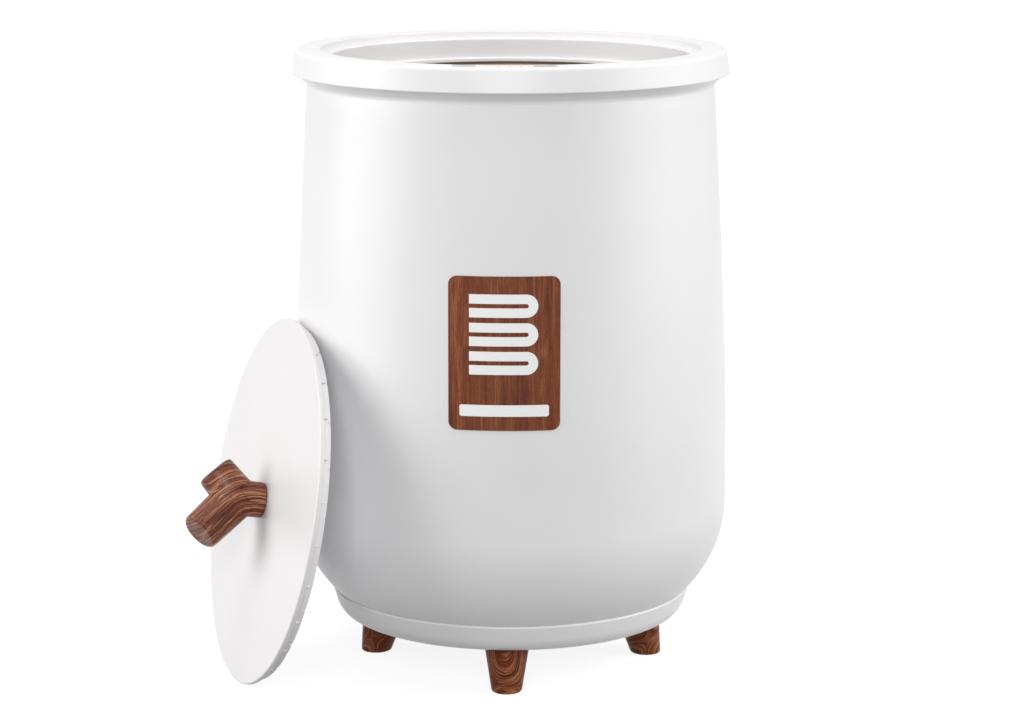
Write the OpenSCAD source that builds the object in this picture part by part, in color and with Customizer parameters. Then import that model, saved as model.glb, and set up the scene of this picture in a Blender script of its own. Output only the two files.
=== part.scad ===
/* [Body] */
// Height of the whole bucket, from the floor to the top of the rim
total_h = 459; // [430:1:500]
// Height of the underside of the base above the floor
base_clear = 36; // [30:0.5:48]
// Height of the lower ring
base_h = 21; // [18:0.5:26]
// Widest radius of the body
belly_r = 161; // [158:0.5:166]
// Radius of the body just under the rim
neck_r = 149.6; // [148:0.2:152]
// Radius of the round lower corner of the body
corner_r = 92; // [80:1:100]
// Height above the base at which the body starts to taper
belly_rise = 138; // [130:1:160]
// Height above the taper's start at which its curve bends
taper_bend = 61; // [40:1:90]
// Wall of the moulded body
shell_wall = 2.6; // [2:0.1:3]
// Wall of the lower ring
ring_wall = 3; // [2.4:0.1:3.4]
// Radius of the lower ring at its top
ring_r = 134.4; // [132.5:0.1:138]
// Floor of the lower ring
ring_floor = 4; // [3.5:0.1:5]
// Width of the rounded bottom edge of the lower ring
ring_round = 12.5; // [5:0.5:14]
// Height of the rounded bottom edge of the lower ring
ring_round_h = 16; // [5:0.5:17]

/* [Rim] */
// Radius of the rim at its lower edge
rim_r = 160.6; // [160:0.1:162]
// Height of the rim's outer band
rim_h = 18; // [17:0.5:20]
// Inward lean of the rim's outer band
rim_lean = 2.9; // [2:0.1:3.2]
// Radius of the rim's rounded outer edge
rim_round = 3.5; // [2.5:0.1:3.6]
// Wall of the rim
rim_wall = 2.4; // [2:0.1:2.5]
// Radius of the mouth inside the lip
mouth_r = 139.4; // [139:0.1:140]
// Depth of the ledge under the top of the rim
ledge_depth = 5.6; // [4.5:0.1:6.5]
// Number of snap tongues under the rim
tongue_n = 6; // [6]
// Angle that each snap tongue covers
tongue_angle = 18; // [10:1:24]

/* [Collar and tub] */
// Radius inside the collar
collar_r = 132; // [131.5:0.1:133]
// Wall of the collar
collar_wall = 2.2; // [1.8:0.1:2.6]
// Height of the collar
collar_h = 17.4; // [14:0.2:42]
// Radius inside the top of the heated tub
tub_r = 128.8; // [127.5:0.1:129]
// Amount that the tub narrows towards its floor
tub_draft = 3.3; // [2:0.1:5]
// Wall of the tub
tub_wall = 1.2; // [0.8:0.1:1.5]
// Height of the tub's floor above the base
tub_rise = 46; // [44:1:60]
// Radius of the corner inside the tub
tub_corner = 10; // [8:1:16]
// Thickness of the sealing ring above the tub
seal_h = 2; // [1:0.1:3]

/* [Controls] */
// Length of a button
button_l = 18; // [14:0.5:19]
// Width of a button
button_w = 11; // [9:0.5:11]
// Distance of each button from the middle of the front
button_x = 28; // [24:0.5:32]
// Travel of a button
button_travel = 1; // [0.6:0.1:1.1]
// Radius of the circle on which the controls lie
control_r = 148.2; // [148:0.1:148.4]
// Radius of an indicator light
lamp_r = 1.1; // [0.8:0.1:1.3]
// Spacing of the indicator lights
lamp_pitch = 7.6; // [6:0.2:8]

/* [Badge] */
// Width of the badge
badge_w = 78; // [60:1:90]
// Height of the badge
badge_h = 108; // [90:1:120]
// Height of the badge's middle above the base
badge_rise = 224.5; // [200:0.5:240]
// Radius of the badge's corners
badge_round = 6; // [3:0.5:10]
// Thickness of the badge
badge_t = 0.8; // [0.5:0.1:1.2]
// Thickness of the mark on the badge
mark_t = 0.3; // [0.2:0.1:0.5]

/* [Feet] */
// Radius of the circle on which the feet stand
foot_ring = 102.8; // [100:0.2:104]
// Outward splay of the feet
foot_splay = 12; // [6:0.5:14]
// Radius of a foot at the floor
foot_r = 11; // [9:0.5:13]
// Radius of a foot at the base
foot_top_r = 17; // [15:0.5:18]
// Radius of the bolt that holds a foot
foot_bolt_r = 3; // [2.5:0.1:4]

/* [Lid] */
// Radius of the lid's plate
lid_r = 134.5; // [133.5:0.1:136]
// Thickness of the lid's plate
lid_t = 3.5; // [3:0.1:4.5]
// Radius of the skirt under the lid
skirt_r = 131; // [130:0.1:131.3]
// Depth of the skirt below the plate
skirt_h = 5.5; // [5:0.1:8]
// Number of notches round the skirt
notch_n = 24; // [12:1:36]
// Lean of the lid from upright as it rests against the body
lid_lean = 10.8; // [6:0.1:16]
// Direction round the bucket in which the lid leans
lid_turn = 200.5; // [190:0.5:214]
// Radius of the handle's stem
stem_r = 13.2; // [11:0.1:14]
// Length of the handle's stem
stem_l = 26; // [22:0.5:32]
// Radius of the handle's branches
branch_r = 15; // [10:0.5:16]
// Length of the upper branch
upper_l = 19; // [17:0.5:28]
// Length of the lower branch
lower_l = 37; // [28:0.5:42]
// Turn of the fork about its stem
fork_turn = 31; // [0:1:60]

/* [Hidden] */
$fn = 96;

// Colours
white = [0.93, 0.93, 0.94];
inner_white = [0.86, 0.86, 0.85];
walnut = [0.30, 0.17, 0.10];
redwood = [0.36, 0.18, 0.11];
steel = [0.70, 0.71, 0.72];
tub_metal = [0.62, 0.56, 0.48];

// Clearances
gap = 0.3;
fit = 0.1;
tiny = 0.01;
glue_t = 0.1;

// Body outline
base_z = base_clear;
shell_z = base_z + base_h;
corner_share = 0.712;
belly_z = base_z + belly_rise;
corner_z = shell_z + corner_r * corner_share;
corner_angle = asin((corner_z - shell_z) / corner_r);
neck_drop = 27;
neck_z = total_h - neck_drop;
bend_z = belly_z + taper_bend;
flange_r = rim_r - rim_wall - gap;
flange_top = total_h - rim_h + 1.2;
fillet_r = 5;
flare_angle = 60;
arc_steps = 10;

// Rim
band_r = rim_r - rim_lean;
lip_wall = 2;
cavity_top = total_h - rim_wall - 0.2;
ledge_z = total_h - ledge_depth;
collar_flange = 2.4;
shelf_z = ledge_z - collar_flange;
shelf_t = 2.4;
pocket_r = mouth_r - 0.5;
shelf_r = collar_r + collar_wall + 2.2;
seat_w = 2.6;
band_inner = rim_r - rim_wall;
tongue_r = neck_r - shell_wall - 0.4;
tongue_t = 2.4;
tongue_z = neck_z - 6;
ridge_r = 0.6;
ridge_z = tongue_z + 3;

// Collar and tub
collar_z = ledge_z - collar_h;
tub_flange_w = 5;
tub_flange_r = tub_r + tub_flange_w;
seal_in = 1;
foot_lip = 0.8;
collar_foot_in = min(tub_r + foot_lip, collar_r);
collar_foot_out = max(tub_flange_r, collar_r + collar_wall);
collar_foot_h = 2.6;
collar_bevel = 0.6;
tub_top = collar_z - seal_h;
tub_z = base_z + tub_rise;
tub_under = tub_z - tub_wall;
tub_low_r = tub_r - tub_draft;

// Base
ring_top_z = base_z + ring_floor;
ring_taper = 2.1;
ring_low_r = ring_r - ring_taper;
ring_lip = 0.8;
service_r = 66;
cover_r = 74;
cover_t = 2.2;
cover_screw_r = 70;
cover_screw_l = 9;
cover_head_h = 1.6;
vent_pitch = 8;
vent_w = 3;
vent_l = 20;
screw_in = 18.3;
screw_ring = ring_low_r - screw_in;
pillar_r = 4.5;
shell_floor = 3.4;
shell_hole_r = screw_ring - 6;
boss_h = 9;
m4_r = 1.9;
m4_head_r = 3.7;
m3_r = 1.4;
m3_head_r = 2.7;
post_in = 25.5;
post_ring = tub_low_r - post_in;
post_r = 7;
foot_boss_r = 9;
foot_seat = 47;
washer_t = 1.2;
washer_r = 7.5;
bolt_end = 13;
bolt_head_h = 3.4;
bolt_head_r = 5;
insert_z = 16.5;
insert_l = 14;
insert_wall = 2;

// Controls
switch_h = 3.2;
button_z = total_h + 0.4;
cap_flange_t = 0.8;
cap_flange_z = cavity_top - cap_flange_t - 0.4;
key_gap = 0.4;
board_top = cap_flange_z - switch_h - button_travel - key_gap;
board_t = 1.6;
board_in = mouth_r + lip_wall + 1.2;
board_out = band_inner - 3.4;
board_angle = 40;
plunger_r = 1.7;
switch_floor = 0.6;
plunger_low = board_top + switch_floor + button_travel + gap;
button_angle = asin(button_x / control_r);
lamp_angle = asin(lamp_pitch / control_r);

// Heating and boards
heater_gap = 0.2;
heater_t = 0.8;
heater_start = 16;
heater_l = 234;
heater_low = tub_z + heater_start;
felt_lift = 4;
base_heater_in = 45.5;
base_heater_r = tub_low_r - base_heater_in;
base_heater_t = 3;
clamp_t = 1.6;
stud_r = 3;
stud_l = 14;
felt_t = 8;
pcb_z = base_z + 10;
pcb_l = 80;
pcb_w = 55;
pcb_t = 1.6;
gland_z = base_z + 12;
gland_r = 5;
gland_bore = 3.2;
gland_pad_r = 7.4;
gland_pad_t = 14;
gland_l = 20;
gland_flange_t = 2.4;
gland_nut_t = 5;
gland_y = ring_r + 1.2;
cable_r = 2.2;
elbow_swell = 0.2;
cable_angle = -82;
cable_rise = 14;
lead_bend_in = 9.5;
cable_bend_in = 5.5;
can_x = 32;
can_h = 12;
can_r = 5;
block_h = 10;
block_l = 30;
block_w = 10;
block_x = -15;
block_y = 13;
small_block_h = 7;
small_block_l = 14;
small_block_w = 7;
small_block_x = -2;
small_block_y = -25;

// Lid
screw_hole_r = 2.3;
handle_hole_l = 17;
screw_r = 2;
panel_t = 1.2;
skirt_wall = 2.6;
plate_round = 0.8;
plate_under = 0.5;

// Points along an arc, from one angle to another
function arc(cx, cz, r, a0, a1, n) =
    [for (i = [0 : n]) let (a = a0 + (a1 - a0) * i / n) [cx + r * cos(a), cz + r * sin(a)]];

// Points along an upright oval's arc, from one angle to another
function oval_arc(cx, cz, rx, rz, a0, a1, n) =
    [for (i = [0 : n]) let (a = a0 + (a1 - a0) * i / n) [cx + rx * cos(a), cz + rz * sin(a)]];

// Point on the tapered flank of the body, from its belly (0) to its neck (1)
function flank(t) = [
    belly_r - t * t * (belly_r - neck_r),
    (1 - t) * (1 - t) * belly_z + 2 * t * (1 - t) * bend_z + t * t * neck_z
];

// Body outline from the bottom to the neck, moved inwards by a depth
function outline(depth) = concat(
    arc(belly_r - corner_r, corner_z, corner_r - depth, -corner_angle, 0, arc_steps),
    [for (i = [0 : arc_steps]) flank(i / arc_steps) - [depth, 0]]
);

// Body radius at a height on the flank
function flank_t(z) =
    let (a = belly_z - 2 * bend_z + neck_z, b = 2 * (bend_z - belly_z), c = belly_z - z)
    -2 * c / (b + sqrt(b * b - 4 * a * c));
function body_r(z) = z > belly_z ? flank(flank_t(z))[0] : belly_r;

// The lid's place as it leans on the body
lid_z = lid_r * cos(lid_lean) + (lid_t - plate_under) * sin(lid_lean);
lid_depth = lid_t + skirt_h;
touch_z = lid_z + skirt_r * cos(lid_lean) - lid_depth * sin(lid_lean);
lid_x = body_r(touch_z) + gap + skirt_r * sin(lid_lean) + lid_depth * cos(lid_lean);

module around(n, start = 0) {
    for (i = [0 : n - 1]) rotate([0, 0, start + i * 360 / n]) children();
}

module ring(r_out, r_in, z, h) {
    translate([0, 0, z]) difference() {
        cylinder(h = h, r = r_out);
        translate([0, 0, -1]) cylinder(h = h + 2, r = r_in);
    }
}

module tube(r_out, r_in, h) {
    difference() {
        cylinder(h = h, r = r_out);
        translate([0, 0, -1]) cylinder(h = h + 2, r = r_in);
    }
}

// A screw that points up, with its head at the bottom
module screw(shank_r, head_r, head_h, l) {
    cylinder(h = head_h, r = head_r);
    cylinder(h = head_h + l, r = shank_r);
}

// A flat oval
module oval(l, w, h) {
    for (s = [-1, 1]) translate([s * (l - w) / 2, 0, 0]) cylinder(h = h, r = w / 2);
    translate([-(l - w) / 2, -w / 2, 0]) cube([l - w, w, h]);
}

// A flat rectangle with round corners
module round_rect(w, h, r) {
    square([w - 2 * r, h], center = true);
    square([w, h - 2 * r], center = true);
    for (x = [-1, 1], y = [-1, 1]) translate([x * (w / 2 - r), y * (h / 2 - r)]) circle(r = r);
}

// A round bar between two points
module bar(p, q, r) {
    d = q - p;
    l = norm(d);
    translate(p) rotate([0, acos(d[2] / l), atan2(d[1], d[0])]) cylinder(h = l, r = r);
}

// A cable through a list of points
module cable(points, r) {
    for (i = [0 : len(points) - 2]) bar(points[i], points[i + 1], r);
    for (i = [1 : len(points) - 2]) translate(points[i]) sphere(r = r + elbow_swell);
}

module at_front(angle = 0) {
    rotate([0, 0, -90 + angle]) translate([control_r, 0, 0]) rotate([0, 0, 90]) children();
}

module outer_shell() {
    inner = outline(shell_wall);
    n = len(inner);
    flange_low = flange_top - 2.4;
    floor_r = inner[0][0];
    color(white) difference() {
        union() {
            rotate_extrude() polygon(concat(
                outline(0),
                arc(neck_r + fillet_r, neck_z, fillet_r, 180, 180 - flare_angle, 5),
                [[flange_r, flange_low], [flange_r, flange_top], [flange_r - 2.4, flange_top]],
                [[neck_r + 1, flange_top - 2.6], [neck_r - shell_wall, neck_z + 2]],
                [for (i = [n - 1 : -1 : 0]) inner[i]],
                [[shell_hole_r, shell_z]]
            ));
            ring(floor_r + 0.5, shell_hole_r, shell_z, shell_floor);
            around(6, 15) translate([screw_ring, 0, shell_z])
                cylinder(h = shell_floor + boss_h, r = pillar_r);
        }
        around(6, 15) translate([screw_ring, 0, shell_z - 1])
            cylinder(h = shell_floor + boss_h - 1, r = m4_r + fit);
        ring(tongue_r + 1.1, tongue_r - 4, ridge_z - ridge_r - gap, 2 * (ridge_r + gap));
    }
}

module base_ring() {
    round_r = ring_low_r - ring_round;
    round_z = base_z + ring_round_h;
    color(white) difference() {
        union() {
            rotate_extrude() polygon(concat(
                [[service_r, base_z], [round_r, base_z]],
                oval_arc(round_r, round_z, ring_round, ring_round_h, -80, 0, 8),
                [[ring_r, shell_z - ring_lip], [ring_r - ring_lip, shell_z]],
                [[ring_r - ring_wall, shell_z]],
                oval_arc(round_r, round_z, ring_round - ring_wall, ring_round_h - ring_floor, 0, -90, 6),
                [[service_r, ring_top_z]]
            ));
            around(6, 15) translate([screw_ring, 0, ring_top_z - tiny])
                cylinder(h = shell_z - ring_top_z + tiny, r = pillar_r);
            around(4, 45) translate([cover_screw_r, 0, ring_top_z - tiny])
                cylinder(h = 6, r = 3.6);
            intersection() {
                around(4) foot_frame() cylinder(h = foot_seat, r = foot_boss_r);
                translate([0, 0, base_z + 1]) cylinder(h = 60, r = ring_low_r - ring_wall);
            }
            gland_frame(gland_y - gland_pad_t) cylinder(h = gland_pad_t, r = gland_pad_r);
        }
        around(6, 15) translate([screw_ring, 0, base_z - 1]) {
            cylinder(h = base_h + 2, r = m4_r + gap);
            cylinder(h = 4, r = m4_head_r + gap);
        }
        translate([0, 0, base_z - 1]) cylinder(h = cover_t + 1, r = cover_r + gap);
        around(4, 45) translate([cover_screw_r, 0, base_z]) cylinder(h = cover_screw_l, r = m3_r + fit);
        around(4) foot_frame() cylinder(h = 2 * base_z, r = foot_bolt_r + gap);
        gland_frame(gland_y - gland_pad_t - 3) cylinder(h = gland_pad_t + 5, r = gland_r + gap);
    }
}

module base_cover() {
    color(inner_white) difference() {
        union() {
            translate([0, 0, base_z]) cylinder(h = cover_t, r = cover_r);
            pcb_corners() translate([0, 0, base_z + cover_t - tiny])
                cylinder(h = pcb_z - base_z - cover_t + tiny, r = 3.5);
        }
        around(4, 45) translate([cover_screw_r, 0, base_z - 1]) cylinder(h = 6, r = m3_r + gap);
        pcb_corners() translate([0, 0, base_z + 3]) cylinder(h = 12, r = m3_r + fit);
        for (i = [-3 : 3]) translate([i * vent_pitch - vent_w / 2, -vent_l / 2, base_z - 1])
            cube([vent_w, vent_l, cover_t + 2]);
    }
}

module pcb_corners() {
    for (x = [-1, 1], y = [-1, 1])
        translate([x * (pcb_l / 2 - 4), y * (pcb_w / 2 - 4), 0]) children();
}

module cover_screws() {
    color(steel) around(4, 45) translate([cover_screw_r, 0, base_z - cover_head_h])
        screw(m3_r, m3_head_r, cover_head_h, cover_screw_l);
}

module ring_screws() {
    color(steel) around(6, 15) translate([screw_ring, 0, base_z + 0.6])
        screw(m4_r, m4_head_r, 2.4, shell_z + shell_floor + boss_h - base_z - 6);
}

// The slanted line of a foot, from the floor up
module foot_frame() {
    translate([foot_ring, 0, 0]) rotate([0, -foot_splay, 0]) children();
}

module foot(turn) {
    axis_l = base_z / cos(foot_splay);
    extra = 8;
    slope = (foot_top_r - foot_r) / axis_l;
    color(walnut) rotate([0, 0, turn]) difference() {
        intersection() {
            foot_frame() translate([0, 0, -extra]) cylinder(
                h = axis_l + 2 * extra,
                r1 = foot_r - slope * extra,
                r2 = foot_top_r + slope * extra
            );
            translate([0, -foot_ring, 0]) cube([2 * foot_ring, 2 * foot_ring, base_z]);
        }
        foot_frame() {
            translate([0, 0, bolt_end - 1]) cylinder(h = base_h + base_z, r = foot_bolt_r + gap);
            translate([0, 0, insert_z - 0.5])
                cylinder(h = base_h + base_z, r = foot_bolt_r + insert_wall + fit);
        }
    }
}

module foot_front() { foot(-90); }
module foot_right() { foot(0); }
module foot_back() { foot(90); }
module foot_left() { foot(180); }

module foot_bolts() {
    color(steel) around(4) foot_frame() {
        translate([0, 0, bolt_end]) cylinder(h = foot_seat + washer_t - bolt_end, r = foot_bolt_r);
        translate([0, 0, foot_seat + washer_t]) cylinder(h = bolt_head_h, r = bolt_head_r, $fn = 6);
    }
}

module foot_washers() {
    color(steel) around(4) foot_frame() translate([0, 0, foot_seat])
        tube(washer_r, foot_bolt_r + gap, washer_t);
}

module foot_inserts() {
    color("goldenrod") around(4) foot_frame() translate([0, 0, insert_z])
        tube(foot_bolt_r + insert_wall, foot_bolt_r + fit / 2, insert_l);
}

module top_rim() {
    band_low = total_h - rim_h;
    seat_r = band_inner - seat_w;
    color(white) difference() {
        union() {
            rotate_extrude() polygon(concat(
                [[mouth_r, total_h]],
                arc(band_r - rim_round, total_h - rim_round, rim_round, 90, 8, 6),
                [[rim_r, band_low + 2]],
                arc(rim_r - 1.4, band_low + 1.4, 1.4, 0, -90, 3),
                [[band_inner, band_low], [band_inner, flange_top], [seat_r, flange_top]],
                [[seat_r, flange_top + 1.8], [band_inner - 0.4, flange_top + 3]],
                [[band_r - rim_wall, total_h - rim_round]],
                [[band_r - rim_round + 0.2, cavity_top], [mouth_r + lip_wall, cavity_top]],
                [[mouth_r + lip_wall, shelf_z - shelf_t], [shelf_r, shelf_z - shelf_t]],
                [[shelf_r, shelf_z], [pocket_r, shelf_z], [pocket_r, ledge_z], [mouth_r, ledge_z]]
            ));
            around(tongue_n, -60 - tongue_angle / 2) rotate_extrude(angle = tongue_angle) {
                translate([tongue_r - tongue_t, tongue_z])
                    square([tongue_t, cavity_top - tongue_z + tiny]);
                translate([tongue_r - tiny, ridge_z - ridge_r])
                    polygon([[0, 0], [ridge_r, ridge_r], [ridge_r, 2 * ridge_r], [0, 2 * ridge_r]]);
            }
            for (s = [-1, 1]) at_front(s * (board_angle / 2 - 2))
                translate([0, 0, board_top]) cylinder(h = cavity_top - board_top + tiny, r = 2.6);
        }
        for (s = [-1, 1]) {
            at_front(s * (board_angle / 2 - 2)) translate([0, 0, board_top - 1])
                cylinder(h = 5, r = 1 + fit);
            at_front(s * button_angle) translate([0, 0, cavity_top - 1])
                oval(button_l, button_w, rim_wall + 3);
        }
        for (i = [-1.5 : 1.5]) at_front(i * lamp_angle) translate([0, 0, cavity_top - 1])
            cylinder(h = rim_wall + 3, r = lamp_r + fit);
        for (s = [-1, 1]) at_front(s * lamp_angle) translate([0, -3, cavity_top - 1])
            cylinder(h = rim_wall + 3, r = 0.7 + fit);
    }
}

module inner_collar() {
    foot_top = collar_z + collar_foot_h;
    color(inner_white) rotate_extrude() {
        polygon([
            [collar_r, ledge_z - collar_bevel], [collar_r + collar_bevel, ledge_z],
            [pocket_r - gap, ledge_z], [pocket_r - gap, shelf_z],
            [collar_r + collar_wall, shelf_z], [collar_r + collar_wall, collar_z], [collar_r, collar_z]
        ]);
        polygon([
            [collar_foot_in, collar_z], [collar_foot_in, foot_top - collar_bevel],
            [collar_foot_in + collar_bevel, foot_top], [collar_foot_out, foot_top],
            [collar_foot_out, collar_z]
        ]);
    }
}

module seal_ring() {
    color("dimgray") ring(tub_flange_r, tub_r + seal_in, tub_top, seal_h);
}

module inner_tub() {
    low_out = tub_low_r + tub_wall;
    rr = tub_corner + tub_wall;
    color(tub_metal) {
        rotate_extrude() polygon(concat(
            [[0, tub_under]],
            arc(low_out - rr, tub_under + rr, rr, -90, 0, 8),
            [[tub_r + tub_wall, tub_top - tub_wall], [tub_flange_r, tub_top - tub_wall]],
            [[tub_flange_r, tub_top], [tub_r, tub_top]],
            arc(tub_low_r - tub_corner, tub_z + tub_corner, tub_corner, 0, -90, 8),
            [[0, tub_z]]
        ));
        translate([0, 0, tub_under - stud_l]) cylinder(h = stud_l + tiny, r = stud_r);
    }
}

module tub_posts() {
    color(inner_white) around(4, 45) translate([post_ring, 0, ring_top_z])
        tube(post_r, 2, tub_under - ring_top_z);
}

module side_heater() {
    r = tub_r + tub_wall + heater_gap;
    color("darkorange") rotate([0, 0, 110]) rotate_extrude(angle = 340)
        translate([r, heater_low]) square([heater_t, heater_l]);
}

module base_heater() {
    color("darkorange")
        ring(base_heater_r, stud_r + 1, tub_under - heater_gap - base_heater_t, base_heater_t);
}

function clamp_z() = tub_under - heater_gap - base_heater_t - heater_gap - clamp_t;

module clamp_plate() {
    color(steel) ring(base_heater_r + 3, stud_r + gap, clamp_z(), clamp_t);
}

module clamp_nut() {
    color(steel) translate([0, 0, clamp_z() - 4]) difference() {
        cylinder(h = 4, r = 6, $fn = 6);
        translate([0, 0, -1]) cylinder(h = 6, r = stud_r + fit / 2);
    }
}

module side_insulation() {
    r = tub_r + tub_wall + 2 * heater_gap + heater_t;
    color("beige") ring(r + felt_t, r, heater_low + felt_lift, heater_l);
}

module base_insulation() {
    color("beige") ring(base_heater_r + 6, 9, clamp_z() - felt_t - heater_gap, felt_t);
}

module thermostat() {
    color("dimgray") rotate([0, 0, 20]) translate([post_ring - 2, 0, tub_under]) {
        translate([0, 0, -9]) cylinder(h = 9, r = 7.8);
        translate([-4, -12, -1]) cube([8, 24, 1]);
        for (y = [-4, 4]) translate([-0.4, y - 2, -17]) cube([0.8, 4, 9]);
    }
}

module thermal_fuse() {
    color("ivory") rotate([0, 0, -20]) translate([post_ring - 2, 0, tub_under - 4])
        rotate([90, 0, 0]) {
            translate([0, 0, -16]) cylinder(h = 32, r = 3);
            translate([-1, 2, -4]) cube([2, 2, 8]);
        }
}

module power_board() {
    color("darkgreen") difference() {
        translate([-pcb_l / 2, -pcb_w / 2, pcb_z]) cube([pcb_l, pcb_w, pcb_t]);
        pcb_corners() translate([0, 0, pcb_z - 1]) cylinder(h = 4, r = m3_r + gap);
    }
}

module board_screws() {
    color(steel) pcb_corners() translate([0, 0, pcb_z + pcb_t]) rotate([180, 0, 0]) {
        translate([0, 0, -1.8]) cylinder(h = 1.8, r = m3_head_r);
        translate([0, 0, -tiny]) cylinder(h = 6, r = m3_r);
    }
}

module on_board(x, y) {
    translate([x, y, pcb_z + pcb_t]) children();
}

module relay() {
    color("royalblue") on_board(-24, -8) cube([19, 15, 13]);
}

module transformer() {
    color("gold") on_board(0, -14) {
        translate([0, 3, 0]) cube([22, 14, 13]);
        translate([4, 0, 1]) cube([14, 20, 11]);
    }
}

module capacitor() {
    color("navy") on_board(can_x, 0) cylinder(h = can_h, r = can_r);
}

module terminal_blocks() {
    color("seagreen") {
        on_board(block_x, block_y) cube([block_l, block_w, block_h]);
        on_board(small_block_x, small_block_y) cube([small_block_l, small_block_w, small_block_h]);
    }
}

module gland_frame(y) {
    rotate([90, 0, 180]) translate([0, gland_z, y]) children();
}

module cord_gland() {
    color("black") difference() {
        union() {
            gland_frame(gland_y) cylinder(h = gland_flange_t, r = gland_r + 2);
            gland_frame(gland_y - gland_l) cylinder(h = gland_l + tiny, r = gland_r);
        }
        gland_frame(gland_y - gland_l - 1)
            cylinder(h = gland_l + gland_flange_t + 2, r = gland_bore);
    }
}

module gland_nut() {
    color("black") gland_frame(gland_y - gland_pad_t - gland_nut_t) difference() {
        cylinder(h = gland_nut_t, r = gland_r + 2.2, $fn = 6);
        translate([0, 0, -1]) cylinder(h = gland_nut_t + 2, r = gland_r + fit);
    }
}

module heater_lead() {
    r = tub_r + tub_wall + heater_gap + 1.6;
    color("firebrick") rotate([0, 0, 106]) {
        translate([r - 1.2, -5, heater_low - 9]) cube([3, 10, 9 - tiny]);
        cable([[r, 0, heater_low - 9], [r - 4, 0, heater_low - 16],
               [tub_low_r - lead_bend_in, 0, tub_z - 16],
               [60, 0, pcb_z + cable_rise], [20, 0, pcb_z + cable_rise],
               [20, 0, pcb_z + pcb_t + block_h]], 1.6);
    }
}

module control_cable() {
    top = board_top - board_t;
    r = board_in + 1.5;
    color("dimgray") rotate([0, 0, cable_angle])
        cable([[r, 0, top], [r, 0, tub_z + 20], [tub_low_r - cable_bend_in, 0, tub_z - 12],
               [70, 0, pcb_z + cable_rise], [22, 0, pcb_z + cable_rise],
               [22, 0, pcb_z + pcb_t + small_block_h]], cable_r);
}

module control_board() {
    color("darkgreen") difference() {
        union() {
            rotate([0, 0, -90 - board_angle / 2]) rotate_extrude(angle = board_angle)
                translate([board_in, board_top - board_t])
                    square([board_out - board_in, board_t]);
            for (i = [-1.5 : 1.5]) at_front(i * lamp_angle) translate([-0.8, -0.5, board_top - tiny])
                cube([1.6, 1, 0.8]);
        }
        for (s = [-1, 1]) at_front(s * (board_angle / 2 - 2)) translate([0, 0, board_top - 3])
            cylinder(h = 5, r = 1 + gap);
    }
}

module control_screws() {
    color(steel) for (s = [-1, 1]) at_front(s * (board_angle / 2 - 2))
        translate([0, 0, board_top - board_t - 1.2]) screw(1, 2, 1.2, 5);
}

module switch_at(s) {
    color("black") at_front(s * button_angle) translate([0, 0, board_top]) difference() {
        translate([-3, -3, 0]) cube([6, 6, switch_h]);
        translate([0, 0, switch_floor]) cylinder(h = 6, r = plunger_r + fit);
    }
}

module plunger_at(s) {
    color("ivory") at_front(s * button_angle) translate([0, 0, plunger_low])
        cylinder(h = cap_flange_z - plunger_low, r = plunger_r);
}

module button_at(s) {
    color("silver") at_front(s * button_angle) {
        translate([0, 0, cap_flange_z]) oval(button_l + 0.9, button_w + 0.9, cap_flange_t);
        translate([0, 0, cap_flange_z])
            oval(button_l - 2 * gap, button_w - 2 * gap, button_z - cap_flange_z);
    }
}

module power_switch() { switch_at(-1); }
module timer_switch() { switch_at(1); }
module power_plunger() { plunger_at(-1); }
module timer_plunger() { plunger_at(1); }
module power_button() { button_at(-1); }
module timer_button() { button_at(1); }

module indicator_lights() {
    color("orange") for (i = [-1.5 : 1.5]) at_front(i * lamp_angle)
        translate([0, 0, board_top + 1.1]) cylinder(h = total_h - board_top - 1.1, r = lamp_r);
}

module status_marks() {
    color("gray") for (s = [-1, 1]) at_front(s * lamp_angle)
        translate([0, -3, board_top]) cylinder(h = total_h - board_top, r = 0.7);
}

// A layer on the front of the body, between two heights above its skin
module skin(low, high) {
    rotate_extrude() polygon(concat(
        [for (i = [0 : arc_steps]) flank(i / arc_steps) + [high, 0]],
        [for (i = [arc_steps : -1 : 0]) flank(i / arc_steps) + [low, 0]]
    ));
}

module front_stamp() {
    translate([0, 0, base_z + badge_rise]) rotate([90, 0, 0]) linear_extrude(height = 200) children();
}

module badge_plate() {
    color(walnut) intersection() {
        skin(glue_t, glue_t + badge_t);
        front_stamp() round_rect(badge_w, badge_h, badge_round);
    }
}

// The plain mark: three folded cloths in a stack, and a bar below
module mark_shape() {
    fold_h = badge_h * 0.15;
    line_t = badge_h * 0.028;
    pitch = badge_h * 0.185;
    for (i = [0 : 2]) translate([0, badge_h * 0.31 - i * pitch]) difference() {
        round_rect(badge_w * 0.66, fold_h, fold_h / 2 - tiny);
        translate([-badge_w * 0.36, -line_t / 2]) square([badge_w * 0.54, line_t]);
    }
    translate([0, -badge_h * 0.37]) round_rect(badge_w * 0.8, badge_h * 0.075, 1.6);
}

module badge_mark() {
    color("white") intersection() {
        skin(glue_t + badge_t + fit, glue_t + badge_t + fit + mark_t);
        front_stamp() mark_shape();
    }
}

// The lid's own frame: z out of its face, x down along it
module lid_frame() {
    rotate([0, 0, lid_turn]) translate([lid_x, 0, lid_z]) rotate([0, 90 - lid_lean, 0]) children();
}

module lid_plate() {
    color(white) lid_frame() difference() {
        rotate_extrude() polygon(concat(
            [[0, -lid_t], [lid_r - plate_under, -lid_t], [lid_r, plate_under - lid_t]],
            arc(lid_r - plate_round, -plate_round, plate_round, 0, 90, 4),
            [[0, 0]]
        ));
        translate([0, 0, -lid_t - 1]) cylinder(h = lid_t + 2, r = screw_hole_r);
    }
}

module lid_skirt() {
    color(white) lid_frame() translate([0, 0, -lid_depth]) difference() {
        tube(skirt_r, skirt_r - skirt_wall, skirt_h);
        around(notch_n, 7.5) translate([skirt_r - 0.7, -1.2, -1]) cube([3, 2.4, 3.4]);
    }
}

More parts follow.
